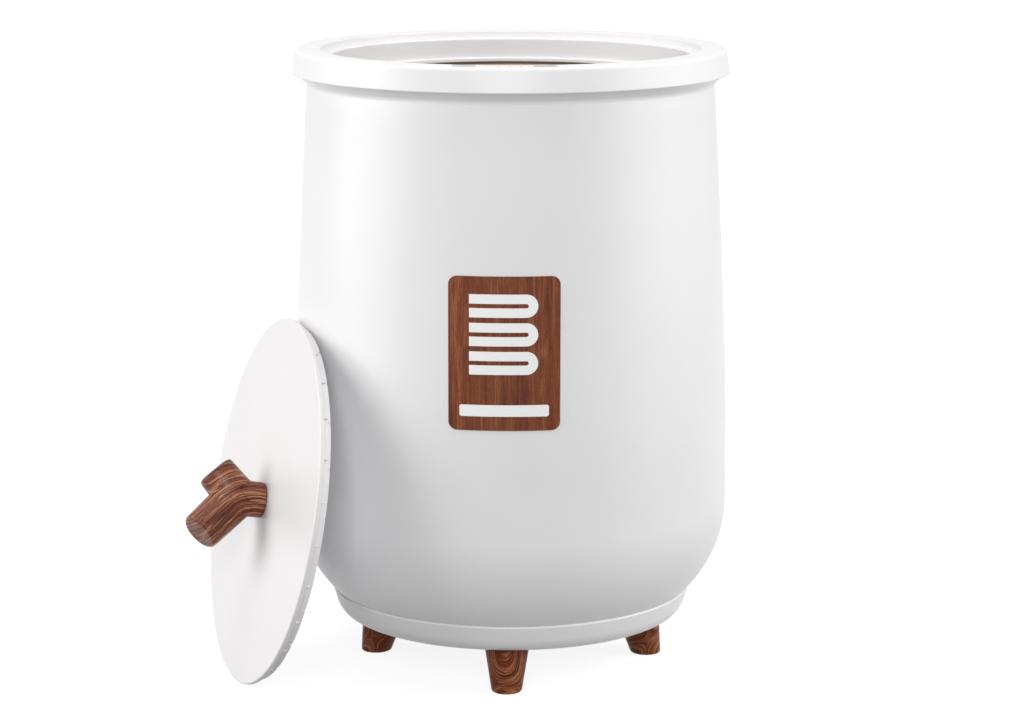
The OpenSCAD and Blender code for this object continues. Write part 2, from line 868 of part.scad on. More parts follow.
module lid_foam() {
    color("beige") lid_frame() translate([0, 0, -lid_depth + panel_t + gap])
        tube(skirt_r - skirt_wall - 0.5, 9, skirt_h - panel_t - 2 * gap);
}

module lid_panel() {
    color(tub_metal) lid_frame() translate([0, 0, -lid_depth])
        tube(skirt_r - skirt_wall - gap, 8.5, panel_t);
}

module lid_cap() {
    color(inner_white) lid_frame() translate([0, 0, -lid_depth]) {
        translate([0, 0, -0.6]) cylinder(h = 0.6, r = 9.5);
        translate([0, 0, -0.6]) cylinder(h = panel_t + 0.6, r = 8.5 - fit);
    }
}

module lid_washer() {
    color(steel) lid_frame() translate([0, 0, -lid_t - 0.8]) tube(6, screw_hole_r, 0.8);
}

module lid_screw() {
    color(steel) lid_frame() translate([0, 0, -lid_t - 0.8 - 2]) {
        cylinder(h = 2, r = 3.8);
        cylinder(h = lid_t + 2.8 + 15, r = screw_r);
    }
}

// A piece of branch from one point towards an angle, with a cut end
module branch(x, z, angle, l, r1, r2) {
    translate([x, 0, z]) rotate([0, angle, 0]) {
        cylinder(h = l - 1.5, r1 = r1, r2 = r2);
        translate([0, 0, l - 1.5]) cylinder(h = 1.5, r1 = r2, r2 = r2 - 1.5);
    }
}

module lid_handle() {
    upper_angle = -48;
    lower_angle = 47.5;
    color(redwood) lid_frame() difference() {
        union() {
            cylinder(h = stem_l, r = stem_r);
            translate([0, 0, stem_l - 1]) sphere(r = stem_r + 0.4);
            rotate([0, 0, fork_turn]) {
                branch(-2, stem_l - 4.5, upper_angle, upper_l + 4, branch_r + 0.4, branch_r - 0.8);
                branch(1, stem_l - 5.5, lower_angle, lower_l + 3, branch_r + 0.6, branch_r - 0.4);
            }
        }
        translate([0, 0, -1]) cylinder(h = handle_hole_l + 1, r = screw_r + fit);
    }
}

outer_shell();
base_ring();
base_cover();
cover_screws();
ring_screws();
foot_front();
foot_right();
foot_back();
foot_left();
foot_bolts();
foot_washers();
foot_inserts();
top_rim();
inner_collar();
seal_ring();
inner_tub();
tub_posts();
side_heater();
base_heater();
clamp_plate();
clamp_nut();
side_insulation();
base_insulation();
thermostat();
thermal_fuse();
power_board();
relay();
transformer();
capacitor();
terminal_blocks();
board_screws();
cord_gland();
gland_nut();
heater_lead();
control_cable();
control_board();
control_screws();
power_switch();
timer_switch();
power_plunger();
timer_plunger();
power_button();
timer_button();
indicator_lights();
status_marks();
badge_plate();
badge_mark();
lid_plate();
lid_skirt();
lid_foam();
lid_panel();
lid_handle();
lid_screw();
lid_washer();
lid_cap();
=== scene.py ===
"""Looks of a towel warmer bucket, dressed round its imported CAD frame.

Sizes are in millimetres in the classes and become metres in the meshes. The
frame has Z up, the front at -Y and the loose lid leaning on the -X side. Each
class that makes pieces has its sizes as fields and a build method.
"""

import logging
import math
from collections.abc import Iterable, Sequence
from dataclasses import dataclass, field
from enum import Enum

import bmesh
import bpy
from mathutils import Matrix, Vector


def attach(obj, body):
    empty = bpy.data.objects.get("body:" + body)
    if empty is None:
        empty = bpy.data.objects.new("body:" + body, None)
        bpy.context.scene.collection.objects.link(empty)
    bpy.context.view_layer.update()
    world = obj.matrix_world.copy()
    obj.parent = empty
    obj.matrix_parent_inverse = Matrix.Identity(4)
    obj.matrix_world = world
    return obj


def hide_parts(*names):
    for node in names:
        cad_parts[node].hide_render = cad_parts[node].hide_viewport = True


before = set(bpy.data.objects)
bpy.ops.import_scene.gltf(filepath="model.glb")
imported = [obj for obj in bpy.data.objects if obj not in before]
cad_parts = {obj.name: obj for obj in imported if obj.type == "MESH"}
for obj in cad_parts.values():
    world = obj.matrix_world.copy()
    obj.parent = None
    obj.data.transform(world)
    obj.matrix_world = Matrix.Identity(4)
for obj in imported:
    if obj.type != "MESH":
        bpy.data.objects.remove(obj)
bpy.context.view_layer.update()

MM = 0.001
ROUND_STEPS = 256
GRAIN = "grain"
BLACK = (0, 0, 0)

log = logging.getLogger("bucket")

Point = tuple[float, float]
Triple = tuple[float, float, float]
Colour = Triple
Limb = tuple[float, float, float, float, float, float]
Socket = bpy.types.NodeSocket


class Body(Enum):
    """The CAD bodies that the pieces ride on."""

    BUCKET = "bucket"
    POWER_KEY = "power_key"
    TIMER_KEY = "timer_key"
    LID = "lid"


class Slot(Enum):
    """The material slots, each standing for one finish."""

    WHITE = "white_plastic"
    LID = "lid_plastic"
    INNER = "inner_plastic"
    TUB = "tub_metal"
    WALNUT = "walnut"
    BRANCH = "branch_wood"
    BADGE = "badge_wood"
    MARK = "badge_white"
    BUTTON = "button_grey"
    AMBER = "amber_lens"
    STEEL = "zinc_steel"
    BRASS = "brass"
    SILICONE = "silicone"
    FELT = "felt"
    BLACK = "black_plastic"
    BOARD = "board_green"
    PARTS = "parts_plastic"


def shade(red: int, green: int, blue: int) -> Colour:
    """Turns a colour as seen, from 0 to 255, into the linear one that shaders take.

    Args:
        red: Red as seen.
        green: Green as seen.
        blue: Blue as seen.

    Returns:
        The linear colour, each part from 0 to 1.
    """
    parts = []
    for value in (red, green, blue):
        part = value / 255
        parts.append(part / 12.92 if part <= 0.04045 else ((part + 0.055) / 1.055) ** 2.4)
    return parts[0], parts[1], parts[2]


def blend_colour(first: Colour, second: Colour, share: float) -> Colour:
    """Mixes two linear colours.

    Args:
        first: The colour at share 0.
        second: The colour at share 1.
        share: How much of the second colour there is.

    Returns:
        The colour between them.
    """
    return tuple(a + (b - a) * share for a, b in zip(first, second))


# ---------------------------------------------------------------- materials


class Recipe:
    """A node material that is put together one node at a time."""

    def __init__(self, name: str) -> None:
        """Starts with a principled shader and its output.

        Args:
            name: The material's name.
        """
        self.material = bpy.data.materials.new(name)
        self.material.use_nodes = True
        tree = self.material.node_tree
        tree.nodes.clear()
        self.nodes = tree.nodes
        self.links = tree.links
        self.shader = self.add("ShaderNodeBsdfPrincipled")
        output = self.add("ShaderNodeOutputMaterial")
        self.links.new(self.shader.outputs[0], output.inputs["Surface"])

    def add(self, kind: str, **settings: object) -> bpy.types.Node:
        """Adds a node and sets its options.

        Args:
            kind: Blender's name for the kind of node.
            **settings: Options of the node, by name.

        Returns:
            The new node.
        """
        node = self.nodes.new(kind)
        for name, value in settings.items():
            setattr(node, name, value)
        return node

    def feed(self, node: bpy.types.Node, **values: object) -> None:
        """Gives a node's inputs their values or links.

        Args:
            node: The node whose inputs are set.
            **values: A socket to link, or a value, by input name with _ for a space,
                or by n_ and the input's number.
        """
        for name, value in values.items():
            key = name.replace("_", " ")
            by_number = key.startswith("n ")
            socket = node.inputs[int(key[2:]) if by_number else key]
            if isinstance(value, Socket):
                self.links.new(value, socket)
            else:
                socket.default_value = value

    def surface(self, **values: object) -> None:
        """Sets inputs of the principled shader, by name with _ for a space."""
        for name, value in values.items():
            if isinstance(value, tuple) and len(value) == 3:
                values[name] = (*value, 1.0)
        self.feed(self.shader, **values)

    def place(self, stretch: Triple = (1, 1, 1), attribute: str = "") -> Socket:
        """Gives the place on the piece in millimetres, stretched along each axis.

        Args:
            stretch: Factor along each axis.
            attribute: Name of a point attribute in millimetres, or nothing for the frame.

        Returns:
            The vector socket.
        """
        scale = self.add("ShaderNodeVectorMath", operation="MULTIPLY")
        if attribute:
            source = self.add("ShaderNodeAttribute", attribute_name=attribute).outputs["Vector"]
            factor = stretch
        else:
            source = self.add("ShaderNodeTexCoord").outputs["Object"]
            factor = tuple(value / MM for value in stretch)
        self.feed(scale, n_0=source, n_1=factor)
        return scale.outputs[0]

    def vector(self, operation: str, first: Socket, second: object) -> Socket:
        """Does a vector sum.

        Args:
            operation: Blender's name for the sum.
            first: The first vector.
            second: The second vector, a socket or three numbers.

        Returns:
            The vector, or the value where the sum gives one.
        """
        node = self.add("ShaderNodeVectorMath", operation=operation)
        self.feed(node, n_0=first, n_1=second)
        return node.outputs["Value" if operation == "LENGTH" else "Vector"]

    def sum(self, operation: str, first: object, second: object = 0.0) -> Socket:
        """Does a sum with numbers.

        Args:
            operation: Blender's name for the sum.
            first: The first number or socket.
            second: The second number or socket.

        Returns:
            The resulting socket.
        """
        node = self.add("ShaderNodeMath", operation=operation)
        self.feed(node, n_0=first, n_1=second)
        return node.outputs[0]

    def noise(self, where: Socket, scale: float, detail: float = 2.0, rough: float = 0.5) -> Socket:
        """Adds soft noise.

        Args:
            where: The place that the noise is read at.
            scale: Waves per millimetre.
            detail: Octaves.
            rough: Share that each octave keeps.

        Returns:
            The noise's value, about 0.5 on average.
        """
        node = self.add("ShaderNodeTexNoise")
        self.feed(node, Vector=where, Scale=scale, Detail=detail, Roughness=rough)
        return node.outputs[0]

    def grain(self, where: Socket, stretch: Triple, detail: float, rough: float = 0.5) -> Socket:
        """Adds noise that is longer along one axis than along another.

        Args:
            where: The place that the noise is read at.
            stretch: Waves per millimetre along each axis.
            detail: Octaves.
            rough: Share that each octave keeps.

        Returns:
            The noise's value, about 0.5 on average.
        """
        return self.noise(self.vector("MULTIPLY", where, stretch), 1.0, detail, rough)

    def drift(self, where: Socket, reach: float) -> Socket:
        """Gives a slow shift to and fro.

        Args:
            where: The place that the shift is read at, in waves.
            reach: How far it shifts at most, in millimetres.

        Returns:
            The shift.
        """
        node = self.add("ShaderNodeTexNoise")
        self.feed(node, Vector=where, Scale=1.0, Detail=2.0)
        centred = self.vector("SUBTRACT", node.outputs["Color"], (0.5, 0.5, 0.5))
        return self.vector("MULTIPLY", centred, (reach, reach, reach))

    def spots(self, where: Socket, scale: float) -> Socket:
        """Adds a cell pattern.

        Args:
            where: The place that the cells are read at.
            scale: Cells per millimetre.

        Returns:
            The distance from each cell's middle.
        """
        node = self.add("ShaderNodeTexVoronoi", feature="F1")
        self.feed(node, Vector=where, Scale=scale)
        return node.outputs["Distance"]

    def grade(self, value: Socket, start: float, end: float, low: float, high: float) -> Socket:
        """Maps a range of values to another.

        Args:
            value: The value.
            start: Where the range starts.
            end: Where the range ends.
            low: Result at the start.
            high: Result at the end.

        Returns:
            The mapped value, kept inside the new range.
        """
        node = self.add("ShaderNodeMapRange")
        self.feed(node, n_0=value, n_1=start, n_2=end, n_3=low, n_4=high)
        return node.outputs[0]

    def ramp(self, value: Socket, stops: Sequence[tuple[float, Colour]]) -> Socket:
        """Colours a value.

        Args:
            value: The value from 0 to 1.
            stops: Places and their colours.

        Returns:
            The colour.
        """
        node = self.add("ShaderNodeValToRGB")
        elements = node.color_ramp.elements
        while len(elements) < len(stops):
            elements.new(0.5)
        for element, (spot, colour) in zip(elements, stops):
            element.position = spot
            element.color = (*colour, 1.0)
        self.feed(node, Fac=value)
        return node.outputs["Color"]

    def mix(self, share: object, first: object, second: object) -> Socket:
        """Mixes two colours.

        Args:
            share: How much of the second there is.
            first: The first colour or socket.
            second: The second colour or socket.

        Returns:
            The mixed colour.
        """
        node = self.add("ShaderNodeMix", data_type="RGBA", blend_type="MIX")
        for key, value in ((0, share), (6, first), (7, second)):
            if isinstance(value, Socket):
                self.links.new(value, node.inputs[key])
            else:
                node.inputs[key].default_value = (*value, 1.0) if key else value
        return node.outputs[2]

    def bump(self, height: Socket, depth: float, under: Socket | None = None) -> Socket:
        """Turns a height into a bumpy normal.

        Args:
            height: The height, where 1 stands for the full depth.
            depth: How deep it is, in millimetres.
            under: A normal that this one goes on.

        Returns:
            The normal.
        """
        node = self.add("ShaderNodeBump")
        self.feed(node, Height=height, Distance=depth * MM, Strength=1.0)
        if under is not None:
            self.feed(node, Normal=under)
        return node.outputs[0]


@dataclass(frozen=True)
class Plastic:
    """Moulded plastic with a fine skin, faint clouding and slow flow waves."""

    name: str
    colour: Colour
    rough: float = 0.38
    cloud_mm: float = 90.0
    cloud_share: float = 0.03
    skin_mm: float = 1.3
    skin_depth: float = 0.006
    wave_mm: float = 38.0
    wave_depth: float = 0.05
    coat: float = 0.0

    def make(self) -> bpy.types.Material:
        """Builds the material.

        Returns:
            The node material.
        """
        recipe = Recipe(self.name)
        place = recipe.place()
        cloud = recipe.noise(place, 1 / self.cloud_mm, 4)
        skin = recipe.noise(place, 1 / self.skin_mm, 2)
        deeper = tuple(part * (1 - self.cloud_share) for part in self.colour)
        wave = recipe.noise(place, 1 / self.wave_mm, 1)
        normal = recipe.bump(skin, self.skin_depth, recipe.bump(wave, self.wave_depth))
        recipe.surface(
            Base_Color=recipe.mix(recipe.grade(cloud, 0.3, 0.7, 0, 1), deeper, self.colour),
            Roughness=recipe.grade(skin, 0.3, 0.7, self.rough - 0.03, self.rough + 0.05),
            Normal=normal,
            Coat_Weight=self.coat,
            Coat_Roughness=0.12,
        )
        return recipe.material


@dataclass(frozen=True)
class Timber:
    """Lacquered wood, with uneven growth lines, fibres and pores that follow the piece's grain."""

    name: str
    dark: Colour
    middle: Colour
    light: Colour
    ring_mm: float
    wander_mm: float
    uneven: float
    rough: float
    gloss: float
    lacquer: float
    patchy: float
    slow_waves: Triple = (0.05, 0.05, 0.02)
    shake_waves: Triple = (0.22, 0.22, 0.09)
    layer_waves: Triple = (0.0, 0.02, 0.012)
    fibre_waves: Triple = (2.1, 2.1, 0.09)
    patch_waves: Triple = (0.11, 0.11, 0.03)
    pore_waves: Triple = (3.2, 3.2, 0.2)
    line_shift: Triple = (31.0, 7.0, 3.0)

    def make(self) -> bpy.types.Material:
        """Builds the material from the piece's grain attribute.

        Returns:
            The node material.
        """
        recipe = Recipe(self.name)
        sway = recipe.drift(recipe.place(self.slow_waves, GRAIN), self.wander_mm)
        moved = recipe.vector("ADD", recipe.place((1, 1, 1), GRAIN), sway)
        depth = recipe.vector("LENGTH", recipe.vector("MULTIPLY", moved, (1, 1, 0)), (0, 0, 0))
        shake = recipe.sum("MULTIPLY", recipe.grain(moved, self.shake_waves, 3, 0.6), self.uneven)
        turns = recipe.sum("ADD", recipe.sum("DIVIDE", depth, self.ring_mm), shake)
        layer = recipe.add("ShaderNodeCombineXYZ")
        recipe.feed(layer, X=turns)
        stretched = recipe.vector("MULTIPLY", moved, self.layer_waves)
        along = recipe.vector("ADD", layer.outputs[0], stretched)
        growth = recipe.noise(along, 1.0, 2, 0.6)
        line = recipe.noise(recipe.vector("ADD", along, self.line_shift), 1.25, 1)
        fibres = recipe.grain(moved, self.fibre_waves, 4, 0.65)
        patches = recipe.grain(moved, self.patch_waves, 2)
        pore = recipe.grade(recipe.grain(moved, self.pore_waves, 1), 0.62, 0.7, 0, 0.7)
        bands = recipe.ramp(
            growth,
            (
                (0.26, self.dark),
                (0.42, blend_colour(self.dark, self.middle, 0.55)),
                (0.54, self.middle),
                (0.68, blend_colour(self.middle, self.light, 0.45)),
                (0.8, self.light),
            ),
        )
        off = recipe.sum("ABSOLUTE", recipe.sum("SUBTRACT", line, 0.5))
        broken = recipe.grade(fibres, 0.34, 0.6, 0.15, 0.95)
        pale = recipe.sum("MULTIPLY", recipe.grade(off, 0.012, 0.05, 1, 0), broken)
        streaked = recipe.mix(pale, bands, self.light)
        toned = recipe.mix(recipe.grade(patches, 0.4, 0.66, 0, self.patchy), streaked, self.dark)
        spun = recipe.mix(recipe.grade(fibres, 0.3, 0.5, 0.45, 0), toned, self.dark)
        final = recipe.mix(pore, spun, blend_colour(self.dark, BLACK, 0.4))
        raised = recipe.sum("ADD", fibres, recipe.sum("MULTIPLY", growth, 0.5))
        relief = recipe.sum("SUBTRACT", raised, pore)
        recipe.surface(
            Base_Color=final,
            Roughness=recipe.grade(fibres, 0.3, 0.7, self.rough, self.rough + 0.14),
            Specular_IOR_Level=self.gloss,
            Normal=recipe.bump(relief, 0.05),
            Coat_Weight=self.lacquer,
            Coat_Roughness=0.22,
        )
        return recipe.material


@dataclass(frozen=True)
class Veneer:
    """A flat wood-grain film with upright streaks."""

    name: str
    dark: Colour
    middle: Colour
    light: Colour
    rough: float = 0.42
    sway_mm: float = 3.0
    slow_waves: Triple = (0.02, 1, 0.02)
    broad_waves: Triple = (0.17, 1, 0.006)
    fine_waves: Triple = (1.3, 1, 0.05)
    dash_waves: Triple = (2.6, 1, 0.35)

    def make(self) -> bpy.types.Material:
        """Builds the material.

        Returns:
            The node material.
        """
        recipe = Recipe(self.name)
        place = recipe.place((1, 0, 1))
        sway = recipe.drift(recipe.vector("MULTIPLY", place, self.slow_waves), self.sway_mm)
        moved = recipe.vector("ADD", place, sway)
        broad = recipe.grain(moved, self.broad_waves, 3, 0.55)
        fine = recipe.grain(moved, self.fine_waves, 5, 0.62)
        dash = recipe.grain(moved, self.dash_waves, 2, 0.5)
        streaks = recipe.grade(fine, 0.3, 0.7, -0.24, 0.4)
        dashes = recipe.grade(dash, 0.3, 0.7, -0.14, 0.14)
        broad_tone = recipe.grade(broad, 0.34, 0.66, 0.1, 0.62)
        tone = recipe.sum("ADD", broad_tone, recipe.sum("ADD", streaks, dashes))
        colour = recipe.ramp(
            tone,
            (
                (0.0, self.dark),
                (0.3, blend_colour(self.dark, self.middle, 0.6)),
                (0.55, self.middle),
                (1.0, self.light),
            ),
        )
        recipe.surface(
            Base_Color=colour,
            Roughness=recipe.grade(fine, 0.3, 0.7, self.rough - 0.05, self.rough + 0.08),
            Specular_IOR_Level=0.25,
            Normal=recipe.bump(fine, 0.02),
        )
        return recipe.material


@dataclass(frozen=True)
class Metal:
    """Bare metal with a brushed or a plated skin."""

    name: str
    colour: Colour
    rough: float = 0.34
    brush: Triple = (1.6, 1.6, 0.012)
    depth: float = 0.012
    stain: float = 0.12
    bare: float = 1.0

    def make(self) -> bpy.types.Material:
        """Builds the material.

        Returns:
            The node material.
        """
        recipe = Recipe(self.name)
        lines = recipe.noise(recipe.place(self.brush), 1.0, 4, 0.65)
        clouds = recipe.noise(recipe.place(), 0.03, 4)
        deeper = tuple(part * (1 - self.stain) for part in self.colour)
        tint = recipe.mix(recipe.grade(clouds, 0.3, 0.7, 0, 1), deeper, self.colour)
        recipe.surface(
            Base_Color=recipe.mix(recipe.grade(lines, 0.3, 0.7, 0, 0.35), tint, deeper),
            Metallic=self.bare,
            Roughness=recipe.grade(lines, 0.25, 0.75, self.rough - 0.06, self.rough + 0.1),
            Normal=recipe.bump(lines, self.depth),
        )
        return recipe.material


@dataclass(frozen=True)
class Soft:
    """Felt or silicone: a matt skin with short fibres or fine pits."""

    name: str
    colour: Colour
    grain_mm: float = 0.8
    depth: float = 0.08
    rough: float = 0.85
    sheen: float = 0.0

    def make(self) -> bpy.types.Material:
        """Builds the material.

        Returns:
            The node material.
        """
        recipe = Recipe(self.name)
        place = recipe.place()
        hairs = recipe.noise(place, 1 / self.grain_mm, 5, 0.7)
        pits = recipe.spots(place, 1 / (self.grain_mm * 1.7))
        deeper = tuple(part * 0.72 for part in self.colour)
        recipe.surface(
            Base_Color=recipe.mix(recipe.grade(hairs, 0.3, 0.7, 0, 1), deeper, self.colour),
            Roughness=recipe.grade(hairs, 0.3, 0.7, self.rough - 0.08, min(1.0, self.rough + 0.08)),
            Normal=recipe.bump(recipe.sum("ADD", hairs, recipe.sum("MULTIPLY", pits, 0.5)), self.depth),
            Sheen_Weight=self.sheen,
        )
        return recipe.material


@dataclass(frozen=True)
class Board:
    """A circuit board: lacquer over tracks, with plated pads."""

    name: str
    mask: Colour
    track: Colour
    pad: Colour

    def make(self) -> bpy.types.Material:
        """Builds the material.

        Returns:
            The node material.
        """
        recipe = Recipe(self.name)
        place = recipe.place((1, 1, 0))
        tracks = recipe.add("ShaderNodeTexBrick", offset=0.37, squash=1.0)
        recipe.feed(tracks, Vector=place, Scale=0.16, Mortar_Size=0.05)
        dots = recipe.spots(place, 0.32)
        pads = recipe.grade(dots, 0.1, 0.16, 1, 0)
        lacquer = recipe.mix(tracks.outputs["Fac"], self.mask, self.track)
        recipe.surface(
            Base_Color=recipe.mix(pads, lacquer, self.pad),
            Metallic=recipe.sum("MULTIPLY", pads, 0.9),
            Roughness=recipe.grade(pads, 0, 1, 0.32, 0.2),
            Normal=recipe.bump(recipe.sum("ADD", tracks.outputs["Fac"], pads), 0.03),
            Coat_Weight=0.2,
        )
        return recipe.material


@dataclass(frozen=True)
class Lens:
    """A tinted lens whose colour also glows faintly as painted glow; nothing lights it from behind."""

    name: str
    colour: Colour
    # glow: strength of a painted glow; the lens is unlit and gives out no light of its own
    glow: float = 0.18

    def make(self) -> bpy.types.Material:
        """Builds the material.

        Returns:
            The node material.
        """
        recipe = Recipe(self.name)
        swirl = recipe.noise(recipe.place(), 0.9, 2)
        deeper = tuple(part * 0.75 for part in self.colour)
        tint = recipe.mix(recipe.grade(swirl, 0.35, 0.65, 0, 1), deeper, self.colour)
        recipe.surface(
            Base_Color=tint,
            Roughness=recipe.grade(swirl, 0.3, 0.7, 0.12, 0.2),
            # The emission paints a faint amber glow on the unlit lens.
            Emission_Color=tint,
            Emission_Strength=self.glow,
            Transmission_Weight=0.25,
            IOR=1.49,
            Normal=recipe.bump(swirl, 0.01),
        )
        return recipe.material


class Finishes:
    """Every finish of the bucket, built once each."""

    recipes = {
        Slot.WHITE: Plastic("white_body_plastic", shade(238, 237, 238), 0.33),
        Slot.LID: Plastic("white_lid_plastic", shade(234, 232, 232), 0.4, skin_depth=0.008),
        Slot.INNER: Plastic("pale_inner_plastic", shade(243, 241, 243), 0.46, skin_depth=0.01),
        Slot.TUB: Metal("champagne_tub_metal", shade(176, 150, 122), 0.48, bare=0.6),
        Slot.WALNUT: Timber(
            "walnut_feet",
            shade(66, 23, 12),
            shade(132, 64, 36),
            shade(200, 134, 94),
            ring_mm=1.0,
            wander_mm=1.0,
            uneven=0.35,
            rough=0.34,
            gloss=0.1,
            lacquer=0.03,
            patchy=0.15,
        ),
        Slot.BRANCH: Timber(
            "red_branch_wood",
            shade(52, 14, 7),
            shade(122, 60, 38),
            shade(210, 152, 118),
            ring_mm=2.1,
            wander_mm=2.4,
            uneven=0.8,
            rough=0.32,
            gloss=0.2,
            lacquer=0.14,
            patchy=0.35,
        ),
        Slot.BADGE: Veneer("badge_veneer", shade(78, 26, 12), shade(122, 64, 35), shade(156, 102, 66)),
        Slot.MARK: Plastic("badge_white_print", shade(252, 252, 252), 0.5, skin_mm=0.8),
        Slot.BUTTON: Plastic("grey_button_plastic", shade(176, 177, 180), 0.3, skin_depth=0.004),
        Slot.AMBER: Lens("amber_lens", shade(238, 146, 48)),
        Slot.STEEL: Metal("zinc_steel", shade(178, 180, 184), 0.32, (0.5, 0.5, 0.5), 0.01),
        Slot.BRASS: Metal("turned_brass", shade(196, 156, 88), 0.25, (0.05, 0.05, 2.5), 0.01),
        Slot.SILICONE: Soft("orange_silicone", shade(196, 96, 52), 1.1, 0.03, 0.6),
        Slot.FELT: Soft("insulating_felt", shade(206, 200, 186), 0.9, 0.2, 0.9, 0.4),
        Slot.BLACK: Plastic("black_plastic", shade(34, 34, 36), 0.45, skin_depth=0.012),
        Slot.BOARD: Board("board_lacquer", shade(22, 84, 48), shade(44, 118, 70), shade(206, 190, 140)),
        Slot.PARTS: Plastic("parts_plastic", shade(72, 92, 120), 0.5),
    }

    def __init__(self) -> None:
        """Starts with nothing built."""
        self.built: dict[Slot, bpy.types.Material] = {}

    def get(self, slot: Slot) -> bpy.types.Material:
        """Gives a slot's material, built when it is first asked for.

        Args:
            slot: The slot.

        Returns:
            The node material.
        """
        if slot not in self.built:
            self.built[slot] = self.recipes[slot].make()
        return self.built[slot]


# ---------------------------------------------------------------- mesh tools


def arc(centre: Point, radius: float, start: float, end: float, steps: int) -> list[Point]:
    """Points along an arc, both ends included.

    Args:
        centre: Middle of the arc.
        radius: Its radius.
        start: First angle in degrees.
        end: Last angle in degrees.
        steps: Number of steps.

    Returns:
        The points.
    """
    angles = [math.radians(start + (end - start) * i / steps) for i in range(steps + 1)]
    return [(centre[0] + radius * math.cos(a), centre[1] + radius * math.sin(a)) for a in angles]


def oval_arc(
    centre: Point, wide: float, high: float, start: float, end: float, steps: int
) -> list[Point]:
    """Points along part of an upright oval, both ends included.

    Args:
        centre: Middle of the oval.
        wide: Half its width.
        high: Half its height.
        start: First angle in degrees.
        end: Last angle in degrees.
        steps: Number of steps.

    Returns:
        The points.
    """
    return [(centre[0] + x * wide, centre[1] + z * high) for x, z in arc((0, 0), 1, start, end, steps)]


def rounded(corners: Sequence[Triple], steps: int = 8) -> list[Point]:
    """Rounds the corners of a closed outline.

    Args:
        corners: Place across, place up and rounding of each corner, in order.
        steps: Steps round each corner.

    Returns:
        The outline's points.
    """
    points: list[Point] = []
    for i, (x, y, size) in enumerate(corners):
        if size <= 0:
            points.append((x, y))
            continue
        here = Vector((x, y))
        back = Vector(corners[i - 1][:2]) - here
        ahead = Vector(corners[(i + 1) % len(corners)][:2]) - here
        half = back.angle(ahead) / 2
        reach = min(size / math.tan(half), 0.49 * back.length, 0.49 * ahead.length)
        size = reach * math.tan(half)
        middle = here + (back.normalized() + ahead.normalized()).normalized() * size / math.sin(half)
        first = here + back.normalized() * reach - middle
        last = here + ahead.normalized() * reach - middle
        turn = math.atan2(first.x * last.y - first.y * last.x, first.dot(last))
        for step in range(steps + 1):
            angle = turn * step / steps
            points.append(
                (
                    middle.x + first.x * math.cos(angle) - first.y * math.sin(angle),
                    middle.y + first.x * math.sin(angle) + first.y * math.cos(angle),
                )
            )
    return points


def lathe(outline: Sequence[Point], steps: int = ROUND_STEPS) -> bmesh.types.BMesh:
    """Turns a closed outline of radii and heights round the Z axis.

    Args:
        outline: Radius and height of each point, in millimetres.
        steps: Steps round the axis.

    Returns:
        The closed mesh.
    """
    mesh = bmesh.new()
    on_axis = {i: mesh.verts.new((0, 0, z * MM)) for i, (r, z) in enumerate(outline) if r < 1e-6}
    columns = []
    for step in range(steps):
        angle = 2 * math.pi * step / steps
        across, along = math.cos(angle) * MM, math.sin(angle) * MM
        column = []
        for i, (r, z) in enumerate(outline):
            column.append(on_axis.get(i) or mesh.verts.new((r * across, r * along, z * MM)))
        columns.append(column)
    for step, column in enumerate(columns):
        following = columns[(step + 1) % steps]
        for i in range(len(outline)):
            j = (i + 1) % len(outline)
            corners = list(dict.fromkeys((column[i], following[i], following[j], column[j])))
            if len(corners) > 2:
                mesh.faces.new(corners)
    return mesh


def rod(radius: float, low: float, high: float, steps: int) -> bmesh.types.BMesh:
    """A plain round solid on the Z axis, in millimetres."""
    return lathe([(0, low), (radius, low), (radius, high), (0, high)], steps)


def loft(loops: Sequence[Sequence[Vector]]) -> bmesh.types.BMesh:
    """Joins closed loops of as many points each and caps both ends.

    Args:
        loops: The loops, in metres.

    Returns:
        The mesh.
    """
    mesh = bmesh.new()
    rows = [[mesh.verts.new(point) for point in loop] for loop in loops]
    for low, high in zip(rows, rows[1:]):
        for i, corner in enumerate(low):
            j = (i + 1) % len(low)
            mesh.faces.new((corner, low[j], high[j], high[i]))
    for row in (rows[0], rows[-1]):
        middle = mesh.verts.new(sum((vert.co for vert in row), Vector()) / len(row))
        for i, corner in enumerate(row):
            mesh.faces.new((corner, row[(i + 1) % len(row)], middle))
    return mesh


def oval_loop(length: float, width: float, inset: float, height: float, steps: int = 24) -> list[Vector]:
    """A flat oval loop, long along X.

    Args:
        length: Full length in millimetres.
        width: Full width in millimetres.
        inset: How far the loop lies inside the oval.
        height: Its height in millimetres.
        steps: Steps round each end.

    Returns:
        The loop's points in metres.
    """
    straight = (length - width) / 2
    radius = width / 2 - inset
    right = arc((straight, 0), radius, -90, 90, steps)
    left = arc((-straight, 0), radius, 90, 270, steps)
    return [Vector((x * MM, y * MM, height * MM)) for x, y in right + left]


def turned(mesh: bmesh.types.BMesh, matrix: Matrix) -> bmesh.types.BMesh:
    """Moves a mesh by a matrix and returns it."""
    mesh.transform(matrix)
    return mesh


def moved_by(x: float, y: float, z: float) -> Matrix:
    """A matrix that moves by millimetres."""
    return Matrix.Translation(Vector((x, y, z)) * MM)


def spin(angle: float, axis: str = "Z") -> Matrix:
    """A matrix that turns by degrees about an axis."""
    return Matrix.Rotation(math.radians(angle), 4, axis)


def join(whole: bmesh.types.BMesh, part: bmesh.types.BMesh, matrix: Matrix) -> None:
    """Adds a mesh to another.

    Args:
        whole: The mesh that grows.
        part: The mesh that is added and freed.
        matrix: Where it is added.
    """
    part.transform(matrix)
    data = bpy.data.meshes.new("part")
    part.to_mesh(data)
    part.free()
    whole.from_mesh(data)
    bpy.data.meshes.remove(data)


